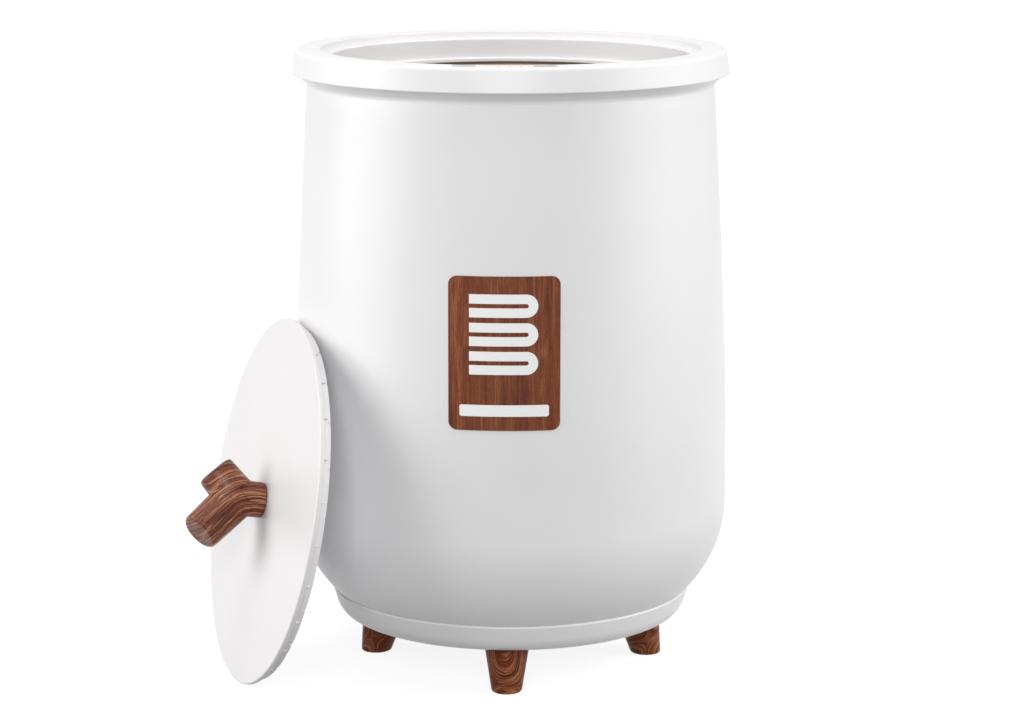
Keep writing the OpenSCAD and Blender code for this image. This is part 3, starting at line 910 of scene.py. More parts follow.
def as_object(name: str, mesh: bmesh.types.BMesh) -> bpy.types.Object:
    """Makes an object of a mesh and links it.

    Args:
        name: The object's name.
        mesh: The mesh, which is freed.

    Returns:
        The object.
    """
    bmesh.ops.recalc_face_normals(mesh, faces=mesh.faces)
    data = bpy.data.meshes.new(name)
    mesh.to_mesh(data)
    mesh.free()
    made = bpy.data.objects.new(name, data)
    bpy.context.scene.collection.objects.link(made)
    return made


def discard(used: bpy.types.Object) -> None:
    """Deletes an object and its mesh.

    Args:
        used: The object that is no longer needed.
    """
    data = used.data
    bpy.data.objects.remove(used)
    bpy.data.meshes.remove(data)


def carve(blank: bmesh.types.BMesh, cutters: Iterable[bmesh.types.BMesh]) -> bmesh.types.BMesh:
    """Cuts closed meshes out of a closed mesh.

    Args:
        blank: What is cut.
        cutters: What is taken away.

    Returns:
        The cut mesh.
    """
    work = as_object("blank", blank)
    tool_mesh = bmesh.new()
    for cutter in cutters:
        bmesh.ops.recalc_face_normals(cutter, faces=cutter.faces)
        part = bpy.data.meshes.new("cutter")
        cutter.to_mesh(part)
        cutter.free()
        tool_mesh.from_mesh(part)
        bpy.data.meshes.remove(part)
    tool = as_object("tool", tool_mesh)
    cut = work.modifiers.new("cut", "BOOLEAN")
    cut.object = tool
    cut.operation = "DIFFERENCE"
    cut.solver = "EXACT"
    result = finished_mesh(work)
    discard(work)
    discard(tool)
    return result


def finished_mesh(work: bpy.types.Object) -> bmesh.types.BMesh:
    """Gives an object's mesh with its modifiers applied.

    Args:
        work: The object.

    Returns:
        A new mesh.
    """
    bpy.context.view_layer.update()
    seen = work.evaluated_get(bpy.context.evaluated_depsgraph_get())
    mesh = bmesh.new()
    mesh.from_mesh(seen.to_mesh())
    seen.to_mesh_clear()
    return mesh


class Workshop:
    """Turns meshes into finished pieces that ride on their CAD bodies."""

    def __init__(self, finishes: Finishes) -> None:
        """Keeps the finishes.

        Args:
            finishes: The finishes that pieces are dressed with.
        """
        self.finishes = finishes

    def add(
        self,
        name: str,
        mesh: bmesh.types.BMesh,
        slot: Slot,
        body: Body = Body.BUCKET,
        replaces: Sequence[str] = (),
        crease: float = 32.0,
    ) -> bpy.types.Object:
        """Makes a piece of a mesh and dresses it.

        Args:
            name: The piece's name.
            mesh: The mesh, which is freed.
            slot: The slot that the finish stands for.
            body: The CAD body that it rides on.
            replaces: The CAD nodes that it stands for.
            crease: Edges sharper than this many degrees stay sharp.

        Returns:
            The piece.
        """
        piece = as_object(name, mesh)
        piece.data.shade_smooth()
        piece.data.set_sharp_from_angle(angle=math.radians(crease))
        even = piece.modifiers.new("even_normals", "WEIGHTED_NORMAL")
        even.keep_sharp = True
        piece.data.materials.append(self.finishes.get(slot))
        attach(piece, body.value)
        if replaces:
            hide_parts(*replaces)
        log.info("%s: %d faces on %s", name, len(piece.data.polygons), body.value)
        return piece

    def dress(self, node: str, material: bpy.types.Material) -> None:
        """Gives a CAD node that stays its material.

        Args:
            node: The node's name.
            material: The material.
        """
        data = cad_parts[node].data
        data.materials.clear()
        data.materials.append(material)


def grain_from(piece: bpy.types.Object, places: Sequence[Vector]) -> None:
    """Stores where each point lies in its wood.

    Args:
        piece: The piece.
        places: The place in the wood of each point, in millimetres.
    """
    store = piece.data.attributes.new(GRAIN, "FLOAT_VECTOR", "POINT")
    store.data.foreach_set("vector", [part for place in places for part in place])


# ---------------------------------------------------------------- the bucket


@dataclass
class Flank:
    """The body's side, a round belly that narrows to the neck on one smooth curve."""

    belly_r: float = 161.0
    neck_r: float = 149.6
    belly_z: float = 174.0
    bend_z: float = 235.0
    neck_z: float = 432.0

    def point(self, share: float) -> Point:
        """Radius and height at a share of the way from the belly to the neck."""
        rest = 1 - share
        height = rest**2 * self.belly_z + 2 * share * rest * self.bend_z + share**2 * self.neck_z
        return self.belly_r - share * share * (self.belly_r - self.neck_r), height

    def radius(self, height: float) -> float:
        """Radius at a height, found by solving the curve's height for its share.

        Args:
            height: Height above the floor.

        Returns:
            The radius.
        """
        if height <= self.belly_z:
            return self.belly_r
        a = self.belly_z - 2 * self.bend_z + self.neck_z
        b = 2 * (self.bend_z - self.belly_z)
        c = self.belly_z - height
        return self.point(-2 * c / (b + math.sqrt(b * b - 4 * a * c)))[0]

    def points(self, steps: int) -> list[Point]:
        """The side's points from the belly to the neck."""
        return [self.point(i / steps) for i in range(steps + 1)]


@dataclass
class BodyShell:
    """The tall moulded outer body."""

    flank: Flank
    floor_z: float = 57.0
    corner_r: float = 92.0
    wall: float = 2.6
    floor_wall: float = 3.4
    hole_r: float = 108.0
    corner_share: float = 0.712
    flange_r: float = 157.9
    flange_z: float = 442.2
    fillet_r: float = 5.0
    flare: float = 60.0
    lip_h: float = 0.9
    seat_w: float = 2.4
    slope_in: float = 1.0
    slope_h: float = 2.6
    neck_up: float = 2.0

    def side(self, depth: float, steps: int) -> list[Point]:
        """The side from the bottom to the neck, moved inwards.

        Args:
            depth: How far it is moved inwards.
            steps: Steps along each of its two parts.

        Returns:
            The points.
        """
        flank = self.flank
        corner_z = self.floor_z + self.corner_r * self.corner_share
        low = -math.degrees(math.asin((corner_z - self.floor_z) / self.corner_r))
        corner = arc((flank.belly_r - self.corner_r, corner_z), self.corner_r - depth, low, 0, steps)
        return corner + [(r - depth, z) for r, z in flank.points(steps)]

    def build(self, shop: Workshop) -> None:
        """Builds the shell.

        Args:
            shop: The workshop.
        """
        flank = self.flank
        neck = (flank.neck_r + self.fillet_r, flank.neck_z)
        fillet = arc(neck, self.fillet_r, 180, 180 - self.flare, 10)
        flange = [
            (self.flange_r, self.flange_z - self.lip_h),
            (self.flange_r, self.flange_z),
            (self.flange_r - self.seat_w, self.flange_z),
            (flank.neck_r + self.slope_in, self.flange_z - self.slope_h),
            (flank.neck_r - self.wall, flank.neck_z + self.neck_up),
        ]
        floor_top = self.floor_z + self.floor_wall
        inner = [point for point in reversed(self.side(self.wall, 24)) if point[1] > floor_top]
        floor = [(inner[-1][0] - 1.0, floor_top), (self.hole_r, floor_top), (self.hole_r, self.floor_z)]
        outline = self.side(0.0, 48) + fillet[1:] + flange + inner + floor
        shop.add("body_shell", lathe(outline), Slot.WHITE, replaces=["outer_shell"])


@dataclass
class Rim:
    """The rolled top rim, with its lip, ledge and the key and light holes in its front."""

    top: float = 459.0
    low_r: float = 160.6
    height: float = 18.0
    lean: float = 2.9
    round_r: float = 3.5
    wall: float = 2.4
    mouth_r: float = 139.4
    lip_wall: float = 2.0
    ledge_z: float = 453.4
    shelf_z: float = 451.0
    shelf_t: float = 2.4
    pocket_r: float = 138.9
    shelf_r: float = 136.4
    flange_z: float = 442.2
    seat_w: float = 2.6
    seat_h: float = 1.8
    slope_in: float = 0.4
    slope_h: float = 3.0
    under_gap: float = 0.2
    mouth_round: float = 1.1
    low_round: float = 1.4
    inner_round: float = 0.5

    def outline(self) -> list[Point]:
        """The rim's closed section."""
        low = self.top - self.height
        band_in = self.low_r - self.wall
        top_r = self.low_r - self.lean
        under = self.top - self.wall - self.under_gap
        inner_lip = self.mouth_r + self.lip_wall
        seat_r = band_in - self.seat_w
        corners = [
            (self.mouth_r, self.top, self.mouth_round),
            (top_r, self.top, self.round_r),
            (self.low_r, low, self.low_round),
            (band_in, low, self.inner_round),
            (band_in, self.flange_z, 0),
            (seat_r, self.flange_z, 0),
            (seat_r, self.flange_z + self.seat_h, 0),
            (band_in - self.slope_in, self.flange_z + self.slope_h, 0),
            (top_r - self.wall, self.top - self.round_r, 0),
            (top_r - self.round_r + self.under_gap, under, 0),
            (inner_lip, under, 0),
            (inner_lip, self.shelf_z - self.shelf_t, 0),
            (self.shelf_r, self.shelf_z - self.shelf_t, 0),
            (self.shelf_r, self.shelf_z, 0),
            (self.pocket_r, self.shelf_z, 0),
            (self.pocket_r, self.ledge_z, 0),
            (self.mouth_r, self.ledge_z, 0),
        ]
        return rounded(corners, 12)

    def build(self, shop: Workshop, controls: "Controls") -> None:
        """Builds the rim and cuts the holes of the controls.

        Args:
            shop: The workshop.
            controls: The keys and lights that come up through the rim.
        """
        mesh = carve(lathe(self.outline()), controls.cutters(self.top))
        shop.add("top_rim_ring", mesh, Slot.WHITE, replaces=["top_rim"])


@dataclass
class Controls:
    """Two oval keys, four amber lights and two small dots on the front of the rim."""

    ring_r: float = 148.2
    key_l: float = 18.0
    key_w: float = 11.0
    key_x: float = 28.0
    key_top: float = 459.4
    key_low: float = 455.2
    gap: float = 0.3
    lamp_r: float = 1.1
    lamp_pitch: float = 7.6
    dot_r: float = 0.7
    dot_out: float = 3.0
    low: float = 451.0
    cut_over: float = 2.0
    fit: float = 0.1
    flange_over: float = 0.9
    flange_t: float = 0.8
    key_edge: float = 0.7
    dish: tuple[Point, ...] = ((1.4, 0.02), (2.2, 0.12), (3.2, 0.2), (4.4, 0.24))
    crown_r: float = 1.75
    crown_sink: float = 1.6
    crown_from: float = 51.0
    lamp_up: float = 1.5
    dot_edge: float = 0.1

    def angle(self, across: float) -> float:
        """The turn from the middle of the front that lies this far across."""
        return math.degrees(math.asin(across / self.ring_r))

    def at(self, turn: float, out: float = 0.0) -> Matrix:
        """A frame on the control circle, with X along it and Y towards the middle.

        Args:
            turn: Turn from the middle of the front, in degrees.
            out: How far outside the circle it is.

        Returns:
            The frame's matrix.
        """
        return spin(turn) @ moved_by(0, -self.ring_r - out, 0)

    def lamps(self) -> list[float]:
        """The turns of the four lights."""
        return [step * self.angle(self.lamp_pitch) for step in (-1.5, -0.5, 0.5, 1.5)]

    def dots(self) -> list[float]:
        """The turns of the two dots."""
        return [step * self.angle(self.lamp_pitch) for step in (-1, 1)]

    def cutters(self, top: float) -> list[bmesh.types.BMesh]:
        """Solids that cut the rim's holes.

        Args:
            top: Top of the rim.

        Returns:
            The solids.
        """
        solids = []
        high = top + self.cut_over
        for side in (-1, 1):
            loops = [oval_loop(self.key_l, self.key_w, 0, z) for z in (self.low, high)]
            solids.append(turned(loft(loops), self.at(side * self.angle(self.key_x))))
        for turn in self.lamps():
            solids.append(turned(rod(self.lamp_r + self.fit, self.low, high, 32), self.at(turn)))
        for turn in self.dots():
            pin = rod(self.dot_r + self.fit, self.low, high, 24)
            solids.append(turned(pin, self.at(turn, self.dot_out)))
        return solids

    def key(self) -> bmesh.types.BMesh:
        """One key: a dished oval cap on its flange."""
        length, width = self.key_l - 2 * self.gap, self.key_w - 2 * self.gap
        flange_l, flange_w = self.key_l + self.flange_over, self.key_w + self.flange_over
        flange_top = self.key_low + self.flange_t
        loops = [
            oval_loop(flange_l, flange_w, 0, self.key_low),
            oval_loop(flange_l, flange_w, 0, flange_top),
            oval_loop(length, width, 0, flange_top),
        ]
        for x, z in arc((0, 0), self.key_edge, 0, 90, 8):
            loops.append(oval_loop(length, width, self.key_edge - x, self.key_top - self.key_edge + z))
        for inset, sink in self.dish:
            loops.append(oval_loop(length, width, inset, self.key_top - sink))
        return loft(loops)

    def build(self, shop: Workshop, rim_top: float) -> None:
        """Builds the keys, lights and dots.

        Args:
            shop: The workshop.
            rim_top: Top of the rim.
        """
        for side, name, body in ((-1, "power", Body.POWER_KEY), (1, "timer", Body.TIMER_KEY)):
            mesh = turned(self.key(), self.at(side * self.angle(self.key_x)))
            shop.add(f"{name}_key_cap", mesh, Slot.BUTTON, body, [f"{name}_button"])
        lights = bmesh.new()
        for turn in self.lamps():
            crown = arc((0, rim_top - self.crown_sink), self.crown_r, self.crown_from, 90, 6)
            pin = [(0, self.low + self.lamp_up), (self.lamp_r, self.low + self.lamp_up)] + crown
            join(lights, lathe(pin[:-1] + [(0, crown[-1][1])], 40), self.at(turn))
        shop.add("timer_lights", lights, Slot.AMBER, replaces=["indicator_lights"])
        dots = bmesh.new()
        for turn in self.dots():
            edge = (self.dot_r, rim_top - self.dot_edge)
            pin = [(0, self.low), (self.dot_r, self.low), edge, (0, rim_top)]
            join(dots, lathe(pin, 32), self.at(turn, self.dot_out))
        shop.add("rim_dots", dots, Slot.BUTTON, replaces=["status_marks"])


@dataclass
class Collar:
    """The pale ring between the rim and the tub."""

    radius: float = 132.0
    wall: float = 2.2
    ledge_z: float = 453.4
    shelf_z: float = 451.0
    low_z: float = 436.0
    flange_r: float = 138.6
    foot_in: float = 129.6
    foot_h: float = 2.6

    def build(self, shop: Workshop) -> None:
        """Builds the collar.

        Args:
            shop: The workshop.
        """
        outer = self.radius + self.wall
        corners = [
            (self.radius, self.ledge_z, 0.9),
            (self.flange_r, self.ledge_z, 0.3),
            (self.flange_r, self.shelf_z, 0),
            (outer, self.shelf_z, 0),
            (outer, self.low_z, 0.2),
            (self.foot_in, self.low_z, 0.3),
            (self.foot_in, self.low_z + self.foot_h, 0.7),
            (self.radius, self.low_z + self.foot_h, 0.5),
        ]
        shop.add("mouth_collar", lathe(rounded(corners)), Slot.INNER, replaces=["inner_collar"])


@dataclass
class Tub:
    """The heated metal tub, with a rolled flange and a pressed floor."""

    radius: float = 128.8
    draft: float = 3.3
    wall: float = 1.2
    top_z: float = 434.0
    floor_z: float = 82.0
    corner: float = 10.0
    flange_r: float = 133.8
    press_r: float = 92.0
    press_h: float = 0.5
    press_w: float = 4.0
    press_slope: float = 3.0
    stud_r: float = 3.0
    stud_l: float = 14.0

    def build(self, shop: Workshop) -> None:
        """Builds the tub.

        Args:
            shop: The workshop.
        """
        low_r = self.radius - self.draft
        under = self.floor_z - self.wall
        press_far = self.press_r + self.press_w
        press_z = self.floor_z - self.press_h
        inner = [
            (0, self.floor_z),
            (self.press_r - self.press_slope, self.floor_z),
            (self.press_r, press_z),
            (press_far, press_z),
            (press_far + self.press_slope, self.floor_z),
        ]
        middle = (low_r - self.corner, self.floor_z + self.corner)
        corner = arc(middle, self.corner, -90, 0, 16)
        corners = [
            (self.radius, self.top_z, 0.8),
            (self.flange_r, self.top_z, 0.3),
            (self.flange_r, self.top_z - self.wall, 0.3),
            (self.radius + self.wall, self.top_z - self.wall, 0),
            (low_r + self.wall, under + self.corner + self.wall, 0),
        ]
        loop = rounded([(low_r, self.floor_z + self.corner, 0)] + corners, 6)[1:]
        outer = arc(middle, self.corner + self.wall, 0, -90, 12)
        stud_low = under - self.stud_l
        stud = [(self.stud_r, under), (self.stud_r, stud_low), (0, stud_low)]
        outline = inner + corner + loop + outer[1:] + stud
        shop.add("heated_tub", lathe(outline), Slot.TUB, replaces=["inner_tub"])


@dataclass
class BaseRing:
    """The low ring under the body, which holds the feet and the cord gland."""

    low_z: float = 36.0
    height: float = 21.0
    top_r: float = 134.1
    low_r: float = 132.3
    wall: float = 3.0
    floor: float = 4.0
    round_w: float = 12.5
    round_h: float = 16.0
    lip: float = 1.5
    service_r: float = 66.0
    cover_r: float = 74.3
    cover_t: float = 2.2
    bead_from: float = -16.0
    round_to: float = -18.0
    cut_under: float = 2.0
    fit: float = 0.1
    screw_count: int = 6
    screw_from: float = 15.0
    screw_deep: float = 12.0
    head_deep: float = 3.0
    screw_ring: float = 114.0
    screw_head_r: float = 4.0
    screw_hole_r: float = 2.2
    gland_z: float = 48.0
    gland_r: float = 5.3
    gland_pad_r: float = 7.4
    gland_y: float = 135.6
    gland_l: float = 20.0
    gland_cut: float = 40.0
    gland_bore: float = 3.2
    gland_neck_r: float = 5.0
    gland_head_r: float = 7.0
    gland_head_t: float = 2.4
    pad_t: float = 14.0

    def build(self, shop: Workshop) -> None:
        """Builds the ring with its screw holes, and the gland at its back.

        Args:
            shop: The workshop.
        """
        top = self.low_z + self.height
        middle = (self.low_r - self.round_w, self.low_z + self.round_h)
        bead = arc((self.top_r - self.lip, top - self.lip), self.lip, self.bead_from, 90, 12)
        hollow_w, hollow_h = self.round_w - self.wall, self.round_h - self.floor
        outline = [
            (self.service_r, self.low_z + self.cover_t),
            (self.cover_r, self.low_z + self.cover_t),
            (self.cover_r, self.low_z),
            *oval_arc(middle, self.round_w, self.round_h, -90, self.round_to, 20),
            *bead,
            (self.top_r - self.wall, top),
            *oval_arc(middle, hollow_w, hollow_h, 0, -90, 12),
            (self.service_r, self.low_z + self.floor),
        ]
        cutters = []
        below = self.low_z - self.cut_under
        for step in range(self.screw_count):
            turn = spin(self.screw_from + 360 * step / self.screw_count)
            place = turn @ moved_by(self.screw_ring, 0, 0)
            shank = rod(self.screw_hole_r, below, self.low_z + self.screw_deep, 32)
            head = rod(self.screw_head_r, below, self.low_z + self.head_deep, 32)
            cutters += [turned(shank, place), turned(head, place)]
        cutters.append(turned(rod(self.gland_r, -self.gland_cut, 10, 48), self.gland_frame()))
        shop.add("base_ring_shell", carve(lathe(outline), cutters), Slot.WHITE, replaces=["base_ring"])
        bore, far = self.gland_r + self.fit, -self.pad_t
        corners = [
            (bore, far, 0),
            (self.gland_pad_r, far, 0.3),
            (self.gland_pad_r, 0, 0.6),
            (bore, 0, 0.2),
        ]
        shop.add("gland_pad", turned(lathe(rounded(corners), 64), self.gland_frame()), Slot.WHITE)
        self.gland(shop)

    def gland_frame(self) -> Matrix:
        """A frame at the gland's pad with Z out of the back."""
        return moved_by(0, self.gland_y, self.gland_z) @ spin(-90, "X")

    def gland(self, shop: Workshop) -> None:
        """Builds the cord gland: a black sleeve with a round head and an open bore.

        Args:
            shop: The workshop.
        """
        corners = [
            (self.gland_bore, -self.gland_l, 0.2),
            (self.gland_neck_r, -self.gland_l, 0.4),
            (self.gland_neck_r, 0, 0),
            (self.gland_head_r, 0, 0.2),
            (self.gland_head_r, self.gland_head_t, 0.8),
            (self.gland_bore, self.gland_head_t, 0.7),
        ]
        mesh = turned(lathe(rounded(corners), 96), self.gland_frame())
        shop.add("cord_gland_body", mesh, Slot.BLACK, replaces=["cord_gland"])


@dataclass
class Feet:
    """Four splayed, tapered wooden feet."""

    ring: float = 102.8
    splay: float = 12.0
    low_r: float = 11.0
    top_r: float = 17.0
    height: float = 36.0
    edge: float = 1.6
    around: int = 96
    levels: int = 30
    pith_out: float = -4.0
    pith_slant: float = 0.5
    pith_side: float = 0.6
    log_step: Triple = (1.7, 2.3, 31.0)
    turns: dict[str, float] = field(
        default_factory=lambda: {"foot_front": -90, "foot_right": 0, "foot_back": 90, "foot_left": 180}
    )

    def ring_points(self, height: float) -> list[Vector]:
        """The foot's outline at a height, in the frame of a foot at +X.

        Args:
            height: Height above the floor, in millimetres.

        Returns:
            The points in millimetres.
        """
        lean = math.radians(self.splay)
        slope = (self.top_r - self.low_r) / (self.height / math.cos(lean))
        inset = 0.0
        if height < self.edge:
            inset = self.edge - math.sqrt(max(0.0, self.edge**2 - (self.edge - height) ** 2))
        start = self.low_r - inset
        tilt, upright = math.sin(lean), math.cos(lean)
        points = []
        for step in range(self.around):
            angle = 2 * math.pi * step / self.around
            out, side = math.cos(angle), math.sin(angle)
            along = (height - start * out * tilt) / (upright + slope * out * tilt)
            radius = start + slope * along
            x = self.ring - along * tilt + radius * out * upright
            points.append(Vector((x, radius * side, height)))
        return points

    def heights(self) -> list[float]:
        """Heights of the foot's outlines, closer together round its lower edge."""
        low = [self.edge * (1 - math.cos(math.radians(90 * i / 8))) for i in range(9)]
        level = (self.height - self.edge) / self.levels
        return low + [self.edge + level * i for i in range(1, self.levels + 1)]

    def in_wood(self, point: Vector) -> Vector:
        """Where a point lies in the tree: rings about a pith that slants through the foot.

        Args:
            point: A point in the frame of a foot at +X, in millimetres.

        Returns:
            The place in the wood.
        """
        out = point.x - self.ring + point.z * math.tan(math.radians(self.splay))
        pith = self.pith_out + self.pith_slant * point.z
        return Vector((out - pith, point.y + self.pith_side, point.z))

    def build(self, shop: Workshop) -> None:
        """Builds the four feet.

        Args:
            shop: The workshop.
        """
        for index, (node, turn) in enumerate(self.turns.items()):
            loops = [[point * MM for point in self.ring_points(height)] for height in self.heights()]
            mesh = loft(loops)
            shift = Vector(self.log_step) * index
            places = [self.in_wood(vert.co / MM) + shift for vert in mesh.verts]
            mesh.transform(spin(turn))
            piece = shop.add(f"{node}_wood", mesh, Slot.WALNUT, replaces=[node])
            grain_from(piece, places)


@dataclass
class Badge:
    """The wood-grain badge on the front, with a plain mark of three folded cloths and a bar."""

    flank: Flank
    width: float = 78.0
    height: float = 108.0
    centre_z: float = 260.5
    corner: float = 6.0
    thick: float = 0.8
    glue: float = 0.1
    edge: float = 0.25
    mark_t: float = 0.3
    mark_gap: float = 0.02
    mark_edge: float = 0.08
    cloth_l: float = 0.33
    cloth_h: float = 0.075
    cloth_top: float = 0.31
    cloth_pitch: float = 0.185
    slit_l: float = 0.18
    slit_h: float = 0.014
    bar_l: float = 0.8
    bar_h: float = 0.075
    bar_up: float = -0.37
    bar_round: float = 1.6

    def on_body(self, x: float, z: float, lift: float) -> Vector:
        """A point over the front of the body.

        Args:
            x: Across, in millimetres.
            z: Above the badge's middle.
            lift: Above the body's skin.

        Returns:
            The point in metres.
        """
        height = self.centre_z + z
        radius = self.flank.radius(height) + lift
        return Vector((x, -math.sqrt(radius * radius - x * x), height)) * MM

    def slab(
        self,
        grid: Sequence[Sequence[Point]],
        low: float,
        high: float,
        edge: float,
        whole: bmesh.types.BMesh,
    ) -> None:
        """Adds a thin curved slab with softened edges.

        Args:
            grid: Rows of points across and up, the same number in each.
            low: Lift of its back.
            high: Lift of its face.
            edge: Width of the softened edge.
            whole: The mesh that it is added to.
        """
        rows, columns = len(grid), len(grid[0])
        face = [[whole.verts.new(self.on_body(x, z, high)) for x, z in row] for row in grid]
        back = [[whole.verts.new(self.on_body(x, z, low)) for x, z in row] for row in grid]
        for i in range(rows - 1):
            for j in range(columns - 1):
                whole.faces.new((face[i][j], face[i][j + 1], face[i + 1][j + 1], face[i + 1][j]))
                whole.faces.new((back[i + 1][j], back[i + 1][j + 1], back[i][j + 1], back[i][j]))
        path = [(0, j) for j in range(columns)]
        path += [(i, columns - 1) for i in range(1, rows)]
        path += [(rows - 1, j) for j in range(columns - 2, -1, -1)]
        path += [(i, 0) for i in range(rows - 2, 0, -1)]
        top_edges = []
        for (i, j), (k, m) in zip(path, path[1:] + path[:1]):
            side = whole.faces.new((face[k][m], face[i][j], back[i][j], back[k][m]))
            top_edges.append(whole.edges.get((face[i][j], face[k][m])))
            side.smooth = True
        bmesh.ops.bevel(
            whole,
            geom=top_edges,
            offset=edge * MM,
            segments=3,
            profile=0.5,
            affect="EDGES",
            clamp_overlap=True,
        )

    def rectangle(
        self, width: float, height: float, corner: float, rows: int, columns: int, up: float = 0.0
    ) -> list[list[Point]]:
        """A grid that fills a rectangle with round corners.

        Args:
            width: Full width.
            height: Full height.
            corner: Radius of its corners.
            rows: Steps up its straight part.
            columns: Steps across.
            up: Height of its middle.

        Returns:
            Rows of points.
        """
        half_h = height / 2
        low = [half_h - corner * (1 - math.cos(math.radians(90 * i / 10))) for i in range(11)]
        straight = [-(half_h - corner) + (height - 2 * corner) * i / rows for i in range(1, rows)]
        heights = [-z for z in low] + straight + low
        grid = []
        for z in sorted(set(round(value, 6) for value in heights)):
            deep = max(0.0, abs(z) - (half_h - corner))
            half = width / 2 - corner + math.sqrt(max(0.0, corner**2 - deep**2))
            grid.append([(half * (2 * j / columns - 1), z + up) for j in range(columns + 1)])
        return grid

    def folded_cloth(self, up: float, whole: bmesh.types.BMesh, low: float, high: float) -> None:
        """Adds one folded cloth, seen from its side: two layers joined by a round fold.

        Args:
            up: Height of its middle above the badge's.
            whole: The mesh that it is added to.
            low: Lift of its back.
            high: Lift of its face.
        """
        half_l = self.width * self.cloth_l
        half_h = self.height * self.cloth_h
        slit = self.height * self.slit_h
        bend_x = self.width * self.slit_l + slit
        middle = (half_h + slit) / 2
        wide = (half_h - slit) / 2
        start = -half_l + wide * 0.4
        upper = [(start + (bend_x - start) * i / 16, middle, 0.0, 1.0) for i in range(17)]
        lower = [(x, -z, 0.0, -out_z) for x, z, _, out_z in reversed(upper)]
        fold = []
        for out_x, out_z in arc((0, 0), 1, 90, -90, 24)[1:-1]:
            fold.append((bend_x + middle * out_x, middle * out_z, out_x, out_z))
        grid = []
        for x, z, out_x, out_z in upper + fold + lower:
            sides = [wide * share for share in (-1, -0.5, 0, 0.5, 1)]
            grid.append([(x + out_x * side, up + z + out_z * side) for side in sides])
        self.slab(grid, low, high, self.mark_edge, whole)

    def build(self, shop: Workshop) -> None:
        """Builds the badge and its mark.

        Args:
            shop: The workshop.
        """
        plate = bmesh.new()
        top = self.glue + self.thick
        panel = self.rectangle(self.width, self.height, self.corner, 48, 44)
        self.slab(panel, self.glue, top, self.edge, plate)
        shop.add("badge_panel", plate, Slot.BADGE, replaces=["badge_plate"])
        mark = bmesh.new()
        low, high = top + self.mark_gap, top + self.glue + self.mark_t
        for step in range(3):
            self.folded_cloth(self.height * (self.cloth_top - self.cloth_pitch * step), mark, low, high)
        bar_w, bar_h = self.width * self.bar_l, self.height * self.bar_h
        bar = self.rectangle(bar_w, bar_h, self.bar_round, 6, 36, self.height * self.bar_up)
        self.slab(bar, low, high, self.mark_edge, mark)
        shop.add("badge_sign", mark, Slot.MARK, replaces=["badge_mark"])


@dataclass
class Lid:
    """The loose lid that leans on the body, with the small ribs round its skirt."""

    flank: Flank
    radius: float = 134.5
    thick: float = 3.5
    skirt_r: float = 131.0
    skirt_h: float = 5.5
    lean: float = 10.8
    turn: float = 200.5
    edge: float = 0.8
    under: float = 0.5
    gap: float = 0.3
    screw_hole: float = 2.3
    rib_count: int = 27
    rib_from: float = 9.2
    rib_w: float = 1.6
    rib_l: float = 3.0
    rib_out: float = 1.6
    rib_in: float = 0.4
    rib_sink: float = 0.1
    edge_round: float = 0.3

    def matrix(self) -> Matrix:
        """The lid's own frame, with Z out of its face and X down along it."""
        tilt, upright = math.sin(math.radians(self.lean)), math.cos(math.radians(self.lean))
        height = self.radius * upright + (self.thick - self.under) * tilt
        depth = self.thick + self.skirt_h
        touch = height + self.skirt_r * upright - depth * tilt
        out = self.flank.radius(touch) + self.gap + self.skirt_r * tilt + depth * upright
        return spin(self.turn) @ moved_by(out, 0, height) @ spin(90 - self.lean, "Y")

    def build(self, shop: Workshop) -> None:
        """Builds the plate, the skirt's ribs and the handle.

        Args:
            shop: The workshop.
        """
        corners = [
            (self.screw_hole, 0, 0),
            (self.radius, 0, self.edge + self.edge_round),
            (self.radius, -self.thick, self.under),
            (self.screw_hole, -self.thick, 0),
        ]
        plate = turned(lathe(rounded(corners, 10)), self.matrix())
        shop.add("lid_disc", plate, Slot.LID, Body.LID, ["lid_plate"])
        shop.add("skirt_ribs", self.ribs(), Slot.LID, Body.LID)
        BranchHandle().build(shop, self.matrix())

    def ribs(self) -> bmesh.types.BMesh:
        """The small ribs round the skirt, under the plate's edge."""
        whole = bmesh.new()
        far, near, half = self.skirt_r + self.rib_out, self.skirt_r - self.rib_in, self.rib_w / 2
        corners = [(near, -half, 0), (far, -half, 0.4), (far, half, 0.4), (near, half, 0)]
        for step in range(self.rib_count):
            loops = []
            for z in (-self.thick - self.rib_l, -self.thick + self.rib_sink):
                loops.append([Vector((x, y, z)) * MM for x, y in rounded(corners, 4)])
            turn = spin(self.rib_from + 360 * step / self.rib_count)
            join(whole, loft(loops), self.matrix() @ turn)
        return whole


